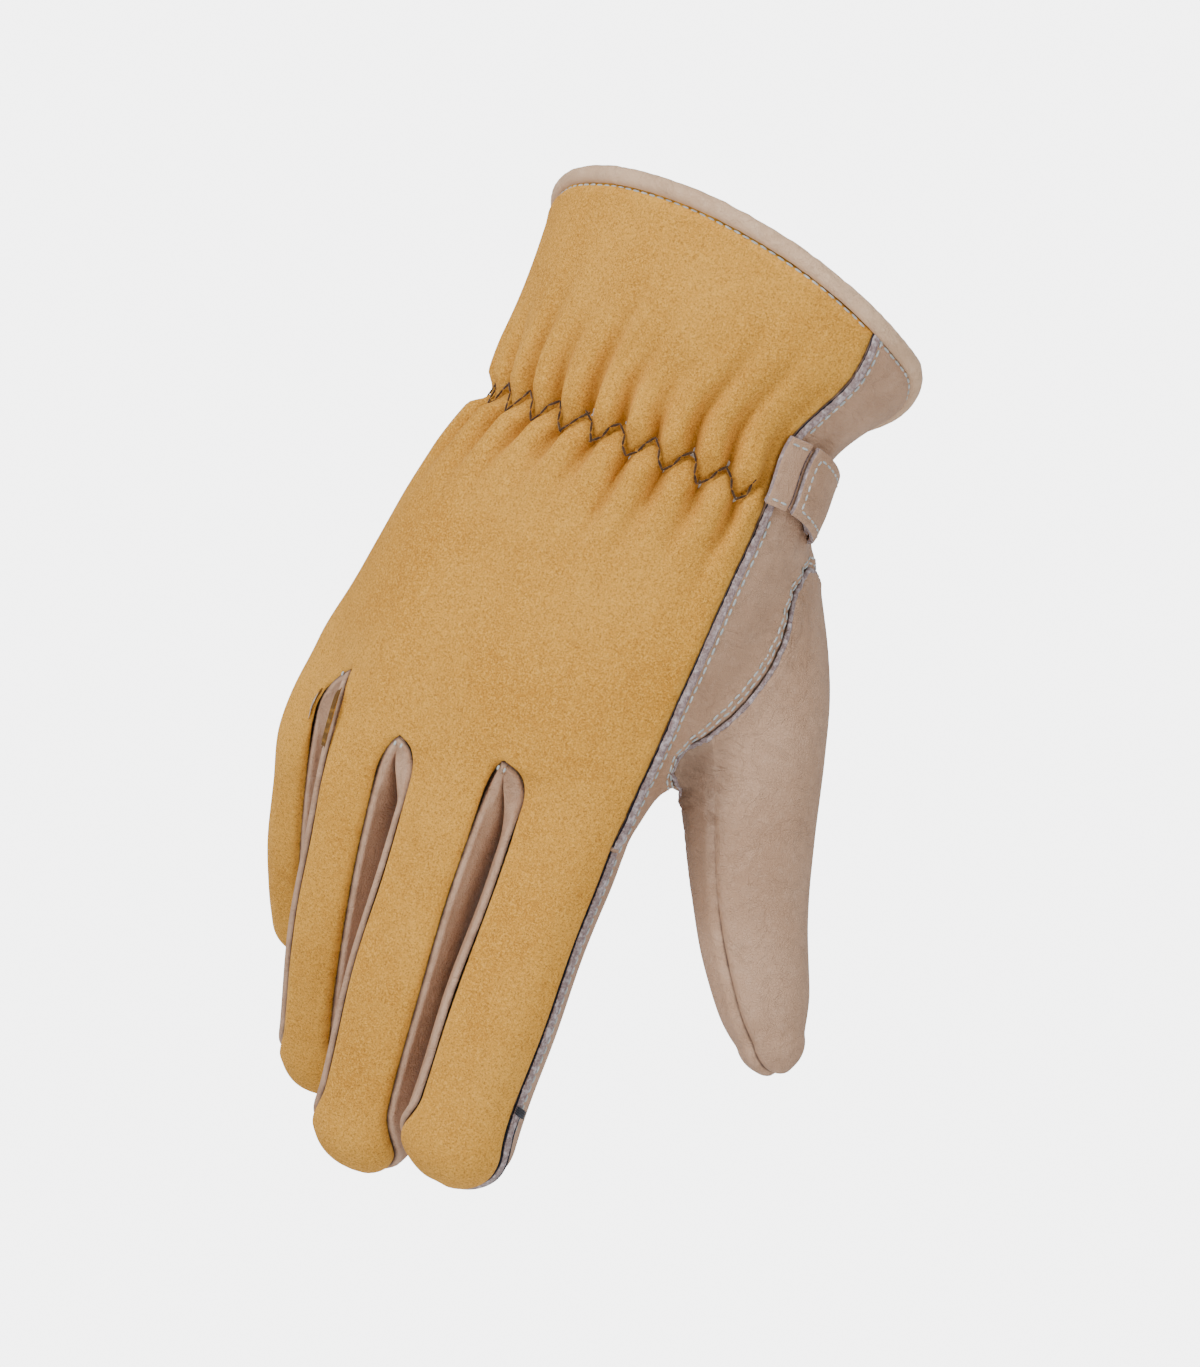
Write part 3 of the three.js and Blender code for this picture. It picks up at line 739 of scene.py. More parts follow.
# long seam on the thumb side, from the cuff to the tip of the index finger,
# or a line at an offset in mm from it on the palm leather
def outerSeamPoints(offset=0.0):
    f = fingers["index"]
    end = fingerBase - f["length"] * 0.995
    z = np.concatenate([levelsBetween(9, fingerCut, 1.0), levelsBetween(-135, end, 1.0)])
    u = np.linspace(0, 0.3, 40)
    grid = lanePoint(0, 1, u[None, :] + 0 * z[:, None], z[:, None] + 0 * u[None, :])
    shape = grid.shape
    grid = settle(grid.reshape(-1, 3)).reshape(shape)
    run = np.cumsum(np.linalg.norm(np.diff(grid, axis=1), axis=2), axis=1)
    run = np.concatenate([np.zeros((len(z), 1)), run], axis=1)
    out = []
    for row, far in zip(grid, run):
        out.append([np.interp(offset, far, row[:, c]) for c in range(3)])
    return np.array(out)


def slitEdge(slit, side, onLeft):
    lane = slits.index(slit) + (1 if onLeft else 0)
    u = 0.0 if onLeft else 1.0
    finger = slit["left"] if onLeft else slit["right"]
    top = slit["backTop" if side < 0 else "palmTop"]
    z = levelsBetween(top, fingerBase - fingers[finger]["length"] * 0.99, 0.8)
    return lanePoint(lane, side, u + 0 * z, z)


outerSeam = outerSeamPoints()
thumbSeam = evenly(seamRing, 1.0, closed=True)
rimOnto(handPalm, evenly(seamRing, 0.1, closed=True))
littleSeam = lanePoint(3, -1, 1.0 + 0 * levelsBetween(-4, -200, 1.0), levelsBetween(-4, -200, 1.0))
slitEdges = [slitEdge(slit, side, onLeft) for slit in slits for side in (-1, 1) for onLeft in (True, False)]
splitRun = levelsBetween(40, thumbLength + 11, 1.0)
thumbSplit = [thumbPoint(angle + 0 * splitRun, splitRun) for angle in innerSeam]


def seamTree(paths):
    return pointTree(np.vstack([evenly(path, 0.35) for path in paths]))


def awayFrom(tree, points):
    return np.array([tree.find(p)[2] for p in points])


thumbTree = pointTree(thumbSeam)
splitTree = seamTree(thumbSplit)
rimAngles = np.arange(-180, 181, 1.0)
rimSeam = handPoint(rimAngles, rimLevel(rimAngles) - 2.4)
closedThumbSeam = np.vstack([thumbSeam, thumbSeam[:1]])
allSeams = seamTree([outerSeam, rimSeam, closedThumbSeam, littleSeam] + slitEdges + thumbSplit)


# gathers, creases and soft hollows
gather = {
    "level": -42.5,      # mm
    "pitch": 9.55,       # zigzag pitch along the wrist
    "half": 3.0,         # half height of the zigzag
    "start": -33.0,      # angle round the wrist at the thumb side where it begins
    "end": -178.0,
    "puff": 2.9,         # how far the folds stand up
    "above": 17.0,       # how far the folds run out towards the cuff and towards the knuckles
    "below": 14.0,
    "wander": 1.5,       # how far the folds stray sideways
    "grooveDepth": 1.7,  # under the zigzag thread
    "grooveWidth": 1.3,
    "pull": 0.9,         # how far the elastic draws the wrist in
    "pullReach": 5.5,
    "palmFold": 1.1,     # the weaker folds of the palm leather
}


def wristArc():
    angle = np.linspace(180, -180, 1441)
    p = handPoint(angle, np.full(angle.shape, gather["level"]))
    run = runAlong(p)
    at = np.interp(-gather["start"], -angle, run)
    return angle, run - at


arcAngle, arcRun = wristArc()


def angleOf(p):
    z = np.clip(p[:, 2], -136, 16)
    cx, cy, a, b, n = [valueAt(handRows, c, z) for c in range(1, 6)]
    drop = heelDrop * smoothStep((z + 42) / (fingerBase + 42)) * smoothStep((-38 - p[:, 0]) / 30)
    c = power((p[:, 0] - cx) / a, n / 2)
    s = power((p[:, 1] - cy - drop) / b, n / 2)
    return np.degrees(np.arctan2(s, c))


def arcOf(p):
    angle = angleOf(p)
    run = np.interp(-angle, -arcAngle, arcRun)
    return np.where(angle > 100, run - arcRun[0] + arcRun[-1], run)


def rough(p, size, seed=0.0):
    return np.array([noise.noise(q) for q in p / size + np.array([seed, -seed, 2 * seed])])


def gatherLift(p):
    arc = arcOf(p)
    back = smoothStep((arc + 3) / 6) * (1 - smoothStep((arc - arcRun[-1] - 1) / 14))
    above = p[:, 2] - gather["level"]
    wander = rough(np.stack([arc, above * 0.8, 0 * arc], 1), 16, 3.1) * gather["wander"]
    lean = wander * np.clip(np.abs(above) / 12, 0, 1)
    phase = 2 * math.pi * (arc + lean) / gather["pitch"]
    wave = np.cos(phase)
    sharp = 1 - 2 * ((1 + wave) / 2) ** 2.2
    sharpDown = 1 - 2 * ((1 - wave) / 2) ** 2.2
    foldNumber = np.round(arc / gather["pitch"])
    length = 1 + 0.55 * rough(np.stack([foldNumber * 7.3, 0 * arc, np.sign(above) * 9], 1), 5, 1.7)
    reach = np.where(above > 0, gather["above"], gather["below"]) * length
    rise = smoothStep((np.abs(above) - 0.3) / 5)
    fall = np.exp(-(np.abs(above) / reach) ** 1.6)
    fold = np.where(above > 0, sharp, sharpDown) * rise * fall * gather["puff"]
    line = gather["half"] * (2 * np.abs(((arc / gather["pitch"] + 0.5) % 1) * 2 - 1) - 1)
    groove = -gather["grooveDepth"] * np.exp(-((above + line) / gather["grooveWidth"]) ** 2)
    pulled = -gather["pull"] * np.exp(-(above / gather["pullReach"]) ** 2)
    crumple = rough(np.stack([arc * 1.0, above * 0.22, 0 * arc], 1), 4.6, 5.2)
    palmFold = (1 - back) * gather["palmFold"] * crumple * np.exp(-((above - 8) / 17) ** 2)
    palmFold += (1 - back) * -0.6 * np.exp(-((above - 2) / 9) ** 2)
    return (fold + groove + pulled) * back + palmFold


def softLift(p):
    slow = rough(p * np.array([1, 1, 0.6]), 34, 0.3) * 0.9
    small = rough(p * np.array([1, 1, 0.5]), 11, 7.7) * 0.3
    return slow + small


def seamLift(d):
    return -0.75 * np.exp(-(d / 0.85) ** 2) + 0.28 * np.exp(-((d - 2.4) / 1.3) ** 2)


# small puckers along a sewn line, each about a pitch long
def puckerAt(piecePoints, path, pitch, depth, reach):
    tree = pointTree(path)
    run = runAlong(path)
    out = np.zeros(len(piecePoints))
    for i, p in enumerate(piecePoints):
        _, k, d = tree.find(p)
        if d < reach * 2.5:
            wave = math.sin(2 * math.pi * run[k] / pitch + 1.4 * math.sin(run[k] / 11))
            out[i] = depth * wave * math.exp(-(d / reach) ** 1.5) * min(1, d / 1.2)
    return out


def handFade(p):
    return smoothStep((p[:, 2] + 128) / 14)


def lift(piece, amount):
    setPoints(piece, pointsOf(piece) + normalsOf(piece) * np.asarray(amount)[:, None])


wrinkles = {
    "everywhere": 0.1,
    "alongThumbSeam": 0.55,
    "seamReach": 6.0,
    "spots": [  # middle, reach on each axis in mm, and strength
        ((36, 10, -108), (15, 22, 15), 1.0),  # crotch of the thumb
        ((42, 2, -20), (26, 26, 13), 1.0),    # cuff above the strap
        ((30, 8, -56), (26, 30, 12), 0.5),    # below the strap
    ],
}


def wrinkledAt(p):
    total = wrinkles["everywhere"] + wrinkles["alongThumbSeam"] * np.exp(
        -(awayFrom(thumbTree, p) / wrinkles["seamReach"]) ** 2)
    for middle, reach, strength in wrinkles["spots"]:
        away = np.linalg.norm((p - np.array(middle)) / np.array(reach), axis=1)
        total = total + strength * np.exp(-away ** 2)
    return np.clip(total, 0, 1)


puckers = {
    "handThumb": (5.6, 0.5, 4.5),    # pitch, depth and reach in mm
    "outer": (6.2, 0.14, 3.0),
    "thumb": (5.6, 0.45, 4.5),
}
thumbFolds = {
    "at": 72,          # mm along the thumb
    "spread": 13,
    "pitch": 3.9,
    "depth": 0.62,
}


def dress(piece, kind):
    p = pointsOf(piece)
    d = awayFrom(allSeams, p)
    total = seamLift(d)
    if kind == "hand":
        folds = gatherLift(p) * smoothStep((p[:, 2] + 92) / 20)
        total = total + handFade(p) * softLift(p) + folds
        # painted shade: darker where the gathered folds and the zigzag groove sink in, in proportion to their
        # depth
        setMask(piece, "paintedShade", np.clip(-folds / 2.6, 0, 1))
        total = total + puckerAt(p, thumbSeam, *puckers["handThumb"])
        total = total + puckerAt(p, outerSeam, *puckers["outer"])
    if kind == "thumb":
        total = total + puckerAt(p, thumbSeam, *puckers["thumb"]) + thumbCrease(p) + softLift(p) * 0.35
        # painted shade: darkens the inner side of the thumb near its crotch, where it faces the index finger;
        # the outer leather keeps a fifth of it, rising to full at the split line
        thumbShadeMask = smoothStep((-p[:, 0] + 56) / 16) * np.exp(-((p[:, 2] + 116) / 36) ** 2)
        near = np.exp(-(awayFrom(splitTree, p) / 3.5) ** 2) if piece is thumbOuter else 1.0
        setMask(piece, "paintedShade", thumbShadeMask * (0.2 + 0.8 * near))
    if kind == "wall":
        total = 0.75 * np.exp(-((d - 1.2) / 0.85) ** 2) - 0.5 * np.exp(-(d / 0.5) ** 2)
    if kind == "finger":
        fade = smoothStep((fingerCut - p[:, 2]) / 12)
        total = total + fade * (rough(p * np.array([1, 1, 0.5]), 13, 4.4) * 0.45)
    lift(piece, total)
    setMask(piece, "seam", d)
    setMask(piece, "wrinkled", wrinkledAt(p))


# short folds across the thumb where it bends away from the index finger
def thumbCrease(p):
    centre = thumbSamples[:, :3]
    nearest = np.array([np.argmin(((centre - q) ** 2).sum(1)) for q in p])
    s = thumbArc[nearest]
    c, _, inner, palmward, _ = thumbAt(s)
    radial = p - c
    inward = (radial * (inner * 0.85 - palmward * 0.5)).sum(1)
    facing = np.clip(inward / np.maximum(np.linalg.norm(radial, axis=1), 1e-3), 0, 1)
    wobble = rough(p, 7, 2.2) * 2.4
    wave = np.sin(2 * math.pi * (s + wobble) / thumbFolds["pitch"])
    near = np.exp(-((s - thumbFolds["at"]) / thumbFolds["spread"]) ** 2)
    return -thumbFolds["depth"] * np.clip(wave, -0.2, 1) ** 2 * np.sign(wave + 0.2) * facing ** 1.5 * near


for piece in (handBack, handPalm):
    dress(piece, "hand")
for piece in (thumbOuter, thumbInner):
    dress(piece, "thumb")
for piece in list(backFingers.values()) + list(palmFingers.values()):
    dress(piece, "finger")
for piece in walls.values():
    dress(piece, "wall")
print("gathers and creases pressed in")


# shared surface effects
# inputs are (name, value) pairs, and an input without a value is a colour
def newGroup(name, inputs, outputs):
    group = bpy.data.node_groups.new(name, "ShaderNodeTree")
    for label, value in inputs:
        kind = "NodeSocketColor" if value is None else "NodeSocketFloat"
        socket = group.interface.new_socket(label, in_out="INPUT", socket_type=kind)
        if value is not None:
            socket.default_value = value
    for label in outputs:
        kind = "NodeSocketColor" if label == "Colour" else "NodeSocketFloat"
        group.interface.new_socket(label, in_out="OUTPUT", socket_type=kind)
    return group, group.nodes.new("NodeGroupInput"), group.nodes.new("NodeGroupOutput")


def addNode(tree, kind, **settings):
    node = tree.nodes.new(kind)
    for key, value in settings.items():
        setattr(node, key, value)
    return node


def noiseNode(tree, coords, scale, detail=3.0, roughness=0.55, distortion=0.0):
    node = addNode(tree, "ShaderNodeTexNoise")
    tree.links.new(coords, node.inputs["Vector"])
    node.inputs["Scale"].default_value = scale
    node.inputs["Detail"].default_value = detail
    node.inputs["Roughness"].default_value = roughness
    node.inputs["Distortion"].default_value = distortion
    return node.outputs["Fac"]


def rangeNode(tree, value, fromLow, fromHigh, toLow=0.0, toHigh=1.0):
    node = addNode(tree, "ShaderNodeMapRange")
    tree.links.new(value, node.inputs["Value"])
    numbers = {"From Min": fromLow, "From Max": fromHigh, "To Min": toLow, "To Max": toHigh}
    for label, number in numbers.items():
        node.inputs[label].default_value = number
    return node.outputs["Result"]


def mathNode(tree, operation, a, b):
    node = addNode(tree, "ShaderNodeMath", operation=operation)
    for socket, value in zip(node.inputs, (a, b)):
        if isinstance(value, (int, float)):
            socket.default_value = value
        else:
            tree.links.new(value, socket)
    return node.outputs[0]


def mixColour(tree, factor, a, b, blend="MIX"):
    node = addNode(tree, "ShaderNodeMix", data_type="RGBA", blend_type=blend)
    for socket, value in ((node.inputs[0], factor), (node.inputs[6], a), (node.inputs[7], b)):
        if isinstance(value, (int, float, tuple)):
            socket.default_value = value
        else:
            tree.links.new(value, socket)
    return node.outputs[2]


def objectCoords(tree):
    return addNode(tree, "ShaderNodeTexCoord").outputs["Object"]


def suedeNapGroup():
    group, given, out = newGroup(
        "suedeNap", [("Base", None), ("Dark", None), ("Light", None), ("Shade", None)], ["Colour", "Height"])
    dark, light, shade = given.outputs["Dark"], given.outputs["Light"], given.outputs["Shade"]
    coords = objectCoords(group)
    cloud = noiseNode(group, coords, 24.0, 4.0, 0.6, 0.5)
    patch = noiseNode(group, coords, 80.0, 4.0, 0.6, 0.3)
    speck = noiseNode(group, coords, 1850.0, 4.0, 0.85)
    fine = noiseNode(group, coords, 2300.0, 3.0, 0.8)
    colour = mixColour(group, rangeNode(group, cloud, 0.3, 0.7), dark, light)
    colour = mixColour(group, 0.5, colour, given.outputs["Base"])
    colour = mixColour(group, rangeNode(group, patch, 0.48, 0.72, 0.0, 0.45), colour, dark)
    colour = mixColour(group, rangeNode(group, speck, 0.47, 0.6, 0.0, 0.78), colour, shade)
    colour = mixColour(group, rangeNode(group, fine, 0.5, 0.6, 0.0, 0.95), colour, light)
    # painted shade: mixes towards the Shade colour where the mesh's shade mask is set (gather valleys, inner
    # side of the thumb)
    paintedShade = attributeNode(group, "paintedShade")
    colour = mixColour(group, mathNode(group, "MULTIPLY", paintedShade, 0.62), colour, shade)
    height = mathNode(group, "MULTIPLY", speck, 0.6)
    height = mathNode(group, "ADD", height, mathNode(group, "MULTIPLY", fine, 0.5))
    height = mathNode(group, "ADD", height, mathNode(group, "MULTIPLY", patch, 1.6))
    group.links.new(colour, out.inputs["Colour"])
    group.links.new(height, out.inputs["Height"])
    return group


# thin lines where a noise passes its middle value
def foldLines(tree, value, width):
    away = mathNode(tree, "ABSOLUTE", mathNode(tree, "SUBTRACT", value, 0.5), 0.0)
    return rangeNode(tree, away, 0.0, width)


def attributeNode(tree, name):
    return addNode(tree, "ShaderNodeAttribute", attribute_name=name).outputs["Fac"]


def leatherGrainGroup():
    group, given, out = newGroup(
        "leatherGrain",
        [("Base", None), ("Dark", None), ("Light", None), ("Shade", None), ("Cell Scale", 1250.0)],
        ["Colour", "Height", "Roughness"])
    dark = given.outputs["Dark"]
    coords = objectCoords(group)
    warp = addNode(group, "ShaderNodeTexNoise")
    group.links.new(coords, warp.inputs["Vector"])
    warp.inputs["Scale"].default_value = 300.0
    shift = addNode(group, "ShaderNodeVectorMath", operation="SCALE")
    group.links.new(warp.outputs["Color"], shift.inputs[0])
    shift.inputs["Scale"].default_value = 0.0016
    moved = addNode(group, "ShaderNodeVectorMath", operation="ADD")
    group.links.new(coords, moved.inputs[0])
    group.links.new(shift.outputs[0], moved.inputs[1])
    cells = addNode(group, "ShaderNodeTexVoronoi", feature="DISTANCE_TO_EDGE")
    group.links.new(moved.outputs[0], cells.inputs["Vector"])
    group.links.new(given.outputs["Cell Scale"], cells.inputs["Scale"])
    valley = rangeNode(group, cells.outputs["Distance"], 0.0, 0.16)
    creaseNoise = noiseNode(group, moved.outputs[0], 120.0, 5.0, 0.62, 1.2)
    crease = foldLines(group, creaseNoise, 0.045)
    stretched = addNode(group, "ShaderNodeVectorMath", operation="MULTIPLY")
    group.links.new(moved.outputs[0], stretched.inputs[0])
    stretched.inputs[1].default_value = (0.3, 0.3, 1.0)
    ridges = noiseNode(group, stretched.outputs[0], 300.0, 2.0, 0.5, 0.5)
    ridges = foldLines(group, ridges, 0.13)
    wrinkled = attributeNode(group, "wrinkled")
    cut = mathNode(group, "MULTIPLY", mathNode(group, "SUBTRACT", 1.0, ridges), wrinkled)
    cloud = noiseNode(group, coords, 38.0, 4.0, 0.6, 0.4)
    mottle = noiseNode(group, coords, 420.0, 3.0, 0.6)
    colour = mixColour(group, rangeNode(group, cloud, 0.36, 0.64), dark, given.outputs["Base"])
    colour = mixColour(group, rangeNode(group, mottle, 0.5, 0.75, 0.0, 0.35), colour, given.outputs["Light"])
    colour = mixColour(group, rangeNode(group, valley, 0.0, 1.0, 0.28, 0.0), colour, dark)
    # painted shade: darkens the crease lines and, where the leather is wrinkled, the wrinkle grooves
    colour = mixColour(group, rangeNode(group, crease, 0.0, 1.0, 0.18, 0.0), colour, dark)
    colour = mixColour(group, mathNode(group, "MULTIPLY", cut, 0.3), colour, dark)
    # painted shade: mixes towards the Shade colour where the mesh's shade mask is set (gather valleys, inner
    # side of the thumb)
    paintedShade = attributeNode(group, "paintedShade")
    colour = mixColour(group, mathNode(group, "MULTIPLY", paintedShade, 0.7), colour, given.outputs["Shade"])
    height = mathNode(group, "MULTIPLY", valley, 0.55)
    height = mathNode(group, "ADD", height, mathNode(group, "MULTIPLY", crease, 0.8))
    height = mathNode(group, "SUBTRACT", height, mathNode(group, "MULTIPLY", cut, 1.5))
    height = mathNode(group, "ADD", height, mathNode(group, "MULTIPLY", mottle, 0.35))
    group.links.new(colour, out.inputs["Colour"])
    group.links.new(height, out.inputs["Height"])
    group.links.new(rangeNode(group, mottle, 0.3, 0.7, 0.46, 0.62), out.inputs["Roughness"])
    return group


def seamShadeGroup():
    group, given, out = newGroup(
        "seamShade", [("Colour", None), ("Deep", None), ("Worn", None), ("Worn Amount", 0.35)], ["Colour"])
    uneven = noiseNode(group, objectCoords(group), 260.0, 3.0)
    wander = rangeNode(group, uneven, 0.3, 0.7, -0.07, 0.07)
    wobble = mathNode(group, "ADD", attributeNode(group, "seam"), wander)
    deep = rangeNode(group, wobble, 0.08, 0.5, 0.92, 0.0)
    beside = rangeNode(group, wobble, 0.8, 3.2, 1.0, 0.0)
    # a patchy lighter band from about 0.8 to 3.2 mm beside each seam
    paler = mathNode(group, "MULTIPLY", beside, rangeNode(group, uneven, 0.4, 0.62))
    paler = mathNode(group, "MULTIPLY", paler, given.outputs["Worn Amount"])
    colour = mixColour(group, paler, given.outputs["Colour"], given.outputs["Worn"])
    colour = mixColour(group, deep, colour, given.outputs["Deep"])
    group.links.new(colour, out.inputs["Colour"])
    return group


def rawEdgeGroup():
    group, given, out = newGroup(
        "rawEdge", [("Base", None), ("Dark", None), ("Light", None)], ["Colour", "Height"])
    coords = objectCoords(group)
    fibre = noiseNode(group, coords, 1800.0, 3.0, 0.7, 0.4)
    speck = noiseNode(group, coords, 700.0, 3.0, 0.6)
    paler = rangeNode(group, fibre, 0.42, 0.7)
    colour = mixColour(group, paler, given.outputs["Dark"], given.outputs["Base"])
    colour = mixColour(group, rangeNode(group, speck, 0.5, 0.68, 0.0, 0.8), colour, given.outputs["Light"])
    group.links.new(colour, out.inputs["Colour"])
    group.links.new(mathNode(group, "ADD", fibre, speck), out.inputs["Height"])
    return group


suedeNap = suedeNapGroup()
leatherGrain = leatherGrainGroup()
seamShade = seamShadeGroup()
rawEdge = rawEdgeGroup()


def newMaterial(name):
    material = bpy.data.materials.new(name)
    material.use_nodes = True
    return material, material.node_tree, material.node_tree.nodes["Principled BSDF"]


def useGroup(tree, group, **colours):
    node = addNode(tree, "ShaderNodeGroup", node_tree=group)
    for label, value in colours.items():
        node.inputs[label.replace("_", " ")].default_value = value
    return node


def bumpInto(tree, shader, height, distance, strength=1.0):
    bump = addNode(tree, "ShaderNodeBump")
    bump.inputs["Distance"].default_value = distance
    bump.inputs["Strength"].default_value = strength
    tree.links.new(height, bump.inputs["Height"])
    tree.links.new(bump.outputs[0], shader.inputs["Normal"])


suedeLook = {
    "base": (0.70, 0.318, 0.036, 1), "dark": (0.52, 0.215, 0.022, 1), "light": (0.88, 0.47, 0.085, 1),
    "shade": (0.31, 0.12, 0.016, 1), "deep": (0.09, 0.045, 0.015, 1), "sheen": 0.05,
}
leatherLook = {
    "base": (0.58, 0.362, 0.235, 1), "dark": (0.46, 0.27, 0.165, 1), "light": (0.68, 0.46, 0.325, 1),
    "shade": (0.17, 0.10, 0.065, 1), "deep": (0.09, 0.055, 0.04, 1), "cell": 1250.0, "shine": 0.42,
}
bindingLook = {
    **leatherLook,
    "base": (0.78, 0.53, 0.34, 1), "dark": (0.64, 0.41, 0.25, 1), "light": (0.86, 0.64, 0.46, 1),
    "shine": 0.4,
}
strapLook = {**leatherLook, "shine": 0.4}


def suedeMaterial(name, look):
    material, tree, shader = newMaterial(name)
    nap = useGroup(tree, suedeNap, Base=look["base"], Dark=look["dark"], Light=look["light"],
                   Shade=look["shade"])
    shade = useGroup(tree, seamShade, Deep=look["deep"], Worn=look["light"], Worn_Amount=0.5)
    tree.links.new(nap.outputs["Colour"], shade.inputs["Colour"])
    tree.links.new(shade.outputs[0], shader.inputs["Base Color"])
    shader.inputs["Roughness"].default_value = 0.95
    shader.inputs["Specular IOR Level"].default_value = 0.2
    shader.inputs["Sheen Weight"].default_value = look["sheen"]
    shader.inputs["Sheen Roughness"].default_value = 0.6
    shader.inputs["Sheen Tint"].default_value = (1.0, 0.78, 0.5, 1)
    bumpInto(tree, shader, nap.outputs["Height"], 0.00022, 0.8)
    return material


def leatherMaterial(name, look, seams=True):
    material, tree, shader = newMaterial(name)
    grain = useGroup(tree, leatherGrain, Base=look["base"], Dark=look["dark"], Light=look["light"],
                     Shade=look["shade"], Cell_Scale=look["cell"])
    colour = grain.outputs["Colour"]
    if seams:
        shade = useGroup(tree, seamShade, Deep=look["deep"], Worn=look["light"], Worn_Amount=0.3)
        tree.links.new(colour, shade.inputs["Colour"])
        colour = shade.outputs[0]
    tree.links.new(colour, shader.inputs["Base Color"])
    tree.links.new(grain.outputs["Roughness"], shader.inputs["Roughness"])
    shader.inputs["Specular IOR Level"].default_value = look["shine"]
    bumpInto(tree, shader, grain.outputs["Height"], 0.00016, 0.9)
    return material


def rawMaterial(name, base, dark, light, bump):
    material, tree, shader = newMaterial(name)
    edge = useGroup(tree, rawEdge, Base=base, Dark=dark, Light=light)
    tree.links.new(edge.outputs["Colour"], shader.inputs["Base Color"])
    shader.inputs["Roughness"].default_value = 0.95
    shader.inputs["Specular IOR Level"].default_value = 0.15
    shader.inputs["Sheen Weight"].default_value = 0.3
    bumpInto(tree, shader, edge.outputs["Height"], bump)
    return material


suede = suedeMaterial("mustardSuede", suedeLook)
palmLeather = leatherMaterial("beigeGrainLeather", leatherLook)
bindingLeather = leatherMaterial("bindingLeather", bindingLook, seams=False)
strapLeather = leatherMaterial("strapLeather", strapLook, seams=False)
rawLooks = {  # base, dark, light and bump height in metres
    "fleshSide": ((0.55, 0.42, 0.30, 1), (0.40, 0.29, 0.19, 1), (0.66, 0.54, 0.42, 1), 0.0003),
    "rawSeamEdge": ((0.46, 0.37, 0.36, 1), (0.24, 0.17, 0.17, 1), (0.68, 0.61, 0.64, 1), 0.0003),
    "paleThread": ((0.60, 0.66, 0.66, 1), (0.42, 0.47, 0.47, 1), (0.78, 0.83, 0.83, 1), 0.00012),
    "brownThread": ((0.09, 0.045, 0.016, 1), (0.035, 0.018, 0.008, 1), (0.15, 0.08, 0.03, 1), 0.00012),
    "darkThread": ((0.012, 0.014, 0.03, 1), (0.005, 0.006, 0.012, 1), (0.03, 0.035, 0.06, 1), 0.00012),
    "elasticTape": ((0.62, 0.58, 0.50, 1), (0.45, 0.42, 0.36, 1), (0.74, 0.70, 0.62, 1), 0.0003),
    "loopTape": ((0.22, 0.17, 0.12, 1), (0.12, 0.09, 0.06, 1), (0.32, 0.26, 0.20, 1), 0.0006),
}
fleshSide, seamEdge, paleThread, brownThread, darkThread, elasticTape, loopTape = [
    rawMaterial(name, *look) for name, look in rawLooks.items()]
print("materials mixed")


leather = {"thickness": 1.1, "fourchetteThickness": 0.9, "crispAngle": 62}  # mm and degrees


def finishSheet(piece, material, nodes, thickness=leather["thickness"]):
    piece.data.materials.append(material)
    piece.data.materials.append(fleshSide)
    shell = piece.modifiers.new("leatherThickness", "SOLIDIFY")
    shell.thickness = thickness * mm
    shell.offset = -1.0
    shell.material_offset = 1
    shell.use_rim = True
    crisp = piece.modifiers.new("crispRim", "EDGE_SPLIT")
    crisp.split_angle = math.radians(leather["crispAngle"])
    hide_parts(*nodes)


def followFinger(piece):
    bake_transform(piece)


thumbBend = (-106.0, -128.0)  # levels on the thumb; followThumb finds the thumb's centre at each but does not use it


def followThumb(piece):
    start, end = [thumbAt(np.interp(-level, -thumbSamples[:, 2], thumbArc))[0] for level in thumbBend]
    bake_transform(piece)


finishSheet(handBack, suede, ["back_panel"])
finishSheet(handPalm, palmLeather, ["palm_panel"])
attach(handBack, "hand")
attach(handPalm, "hand")
finishSheet(thumbOuter, palmLeather, ["thumb_base_outer", "thumb_outer"])
finishSheet(thumbInner, palmLeather, ["thumb_base_inner", "thumb_inner"])
followThumb(thumbOuter)
followThumb(thumbInner)
for finger in laneOrder:
    finishSheet(backFingers[finger], suede, ["back_" + finger])
    finishSheet(palmFingers[finger], palmLeather, ["palm_" + finger])
    followFinger(backFingers[finger])
    followFinger(palmFingers[finger])
for (finger, place), piece in walls.items():
    nodes = ["fourchette_" + finger + "_" + place]
    if place == "little_side":
        slit = [s for s in slits if s["right"] == finger][0]
        nodes.append("fourchette_crotch_" + slit["name"])
    finishSheet(piece, palmLeather, nodes, leather["fourchetteThickness"])
    followFinger(piece)
print("leather pieces finished")


# stitches
stitch = {"rings": 6, "sides": 7, "flat": 0.75}  # one stitch is a rounded, slightly flattened bar


def stitchShape(length, radius):
    points, faces = [(-length / 2, 0, 0)], []
    rings, sides = stitch["rings"], stitch["sides"]
    for j in range(rings):
        along = -0.92 + 1.84 * j / (rings - 1)
        girth = radius * (1 - abs(along) ** 3) ** 0.5 * (1 + 0.12 * math.cos(along * 9))
        for i in range(sides):
            angle = 2 * math.pi * i / sides
            thick = girth * stitch["flat"]
            points.append((along * length / 2, girth * math.cos(angle), thick * math.sin(angle)))
    points.append((length / 2, 0, 0))
    for i in range(sides):
        faces.append((0, 1 + (i + 1) % sides, 1 + i))
        last = 1 + (rings - 1) * sides
        faces.append((len(points) - 1, last + i, last + (i + 1) % sides))
    for j in range(rings - 1):
        for i in range(sides):
            a, b = 1 + j * sides + i, 1 + j * sides + (i + 1) % sides
            faces.append((a, b, b + sides, a + sides))
    return np.array(points), faces


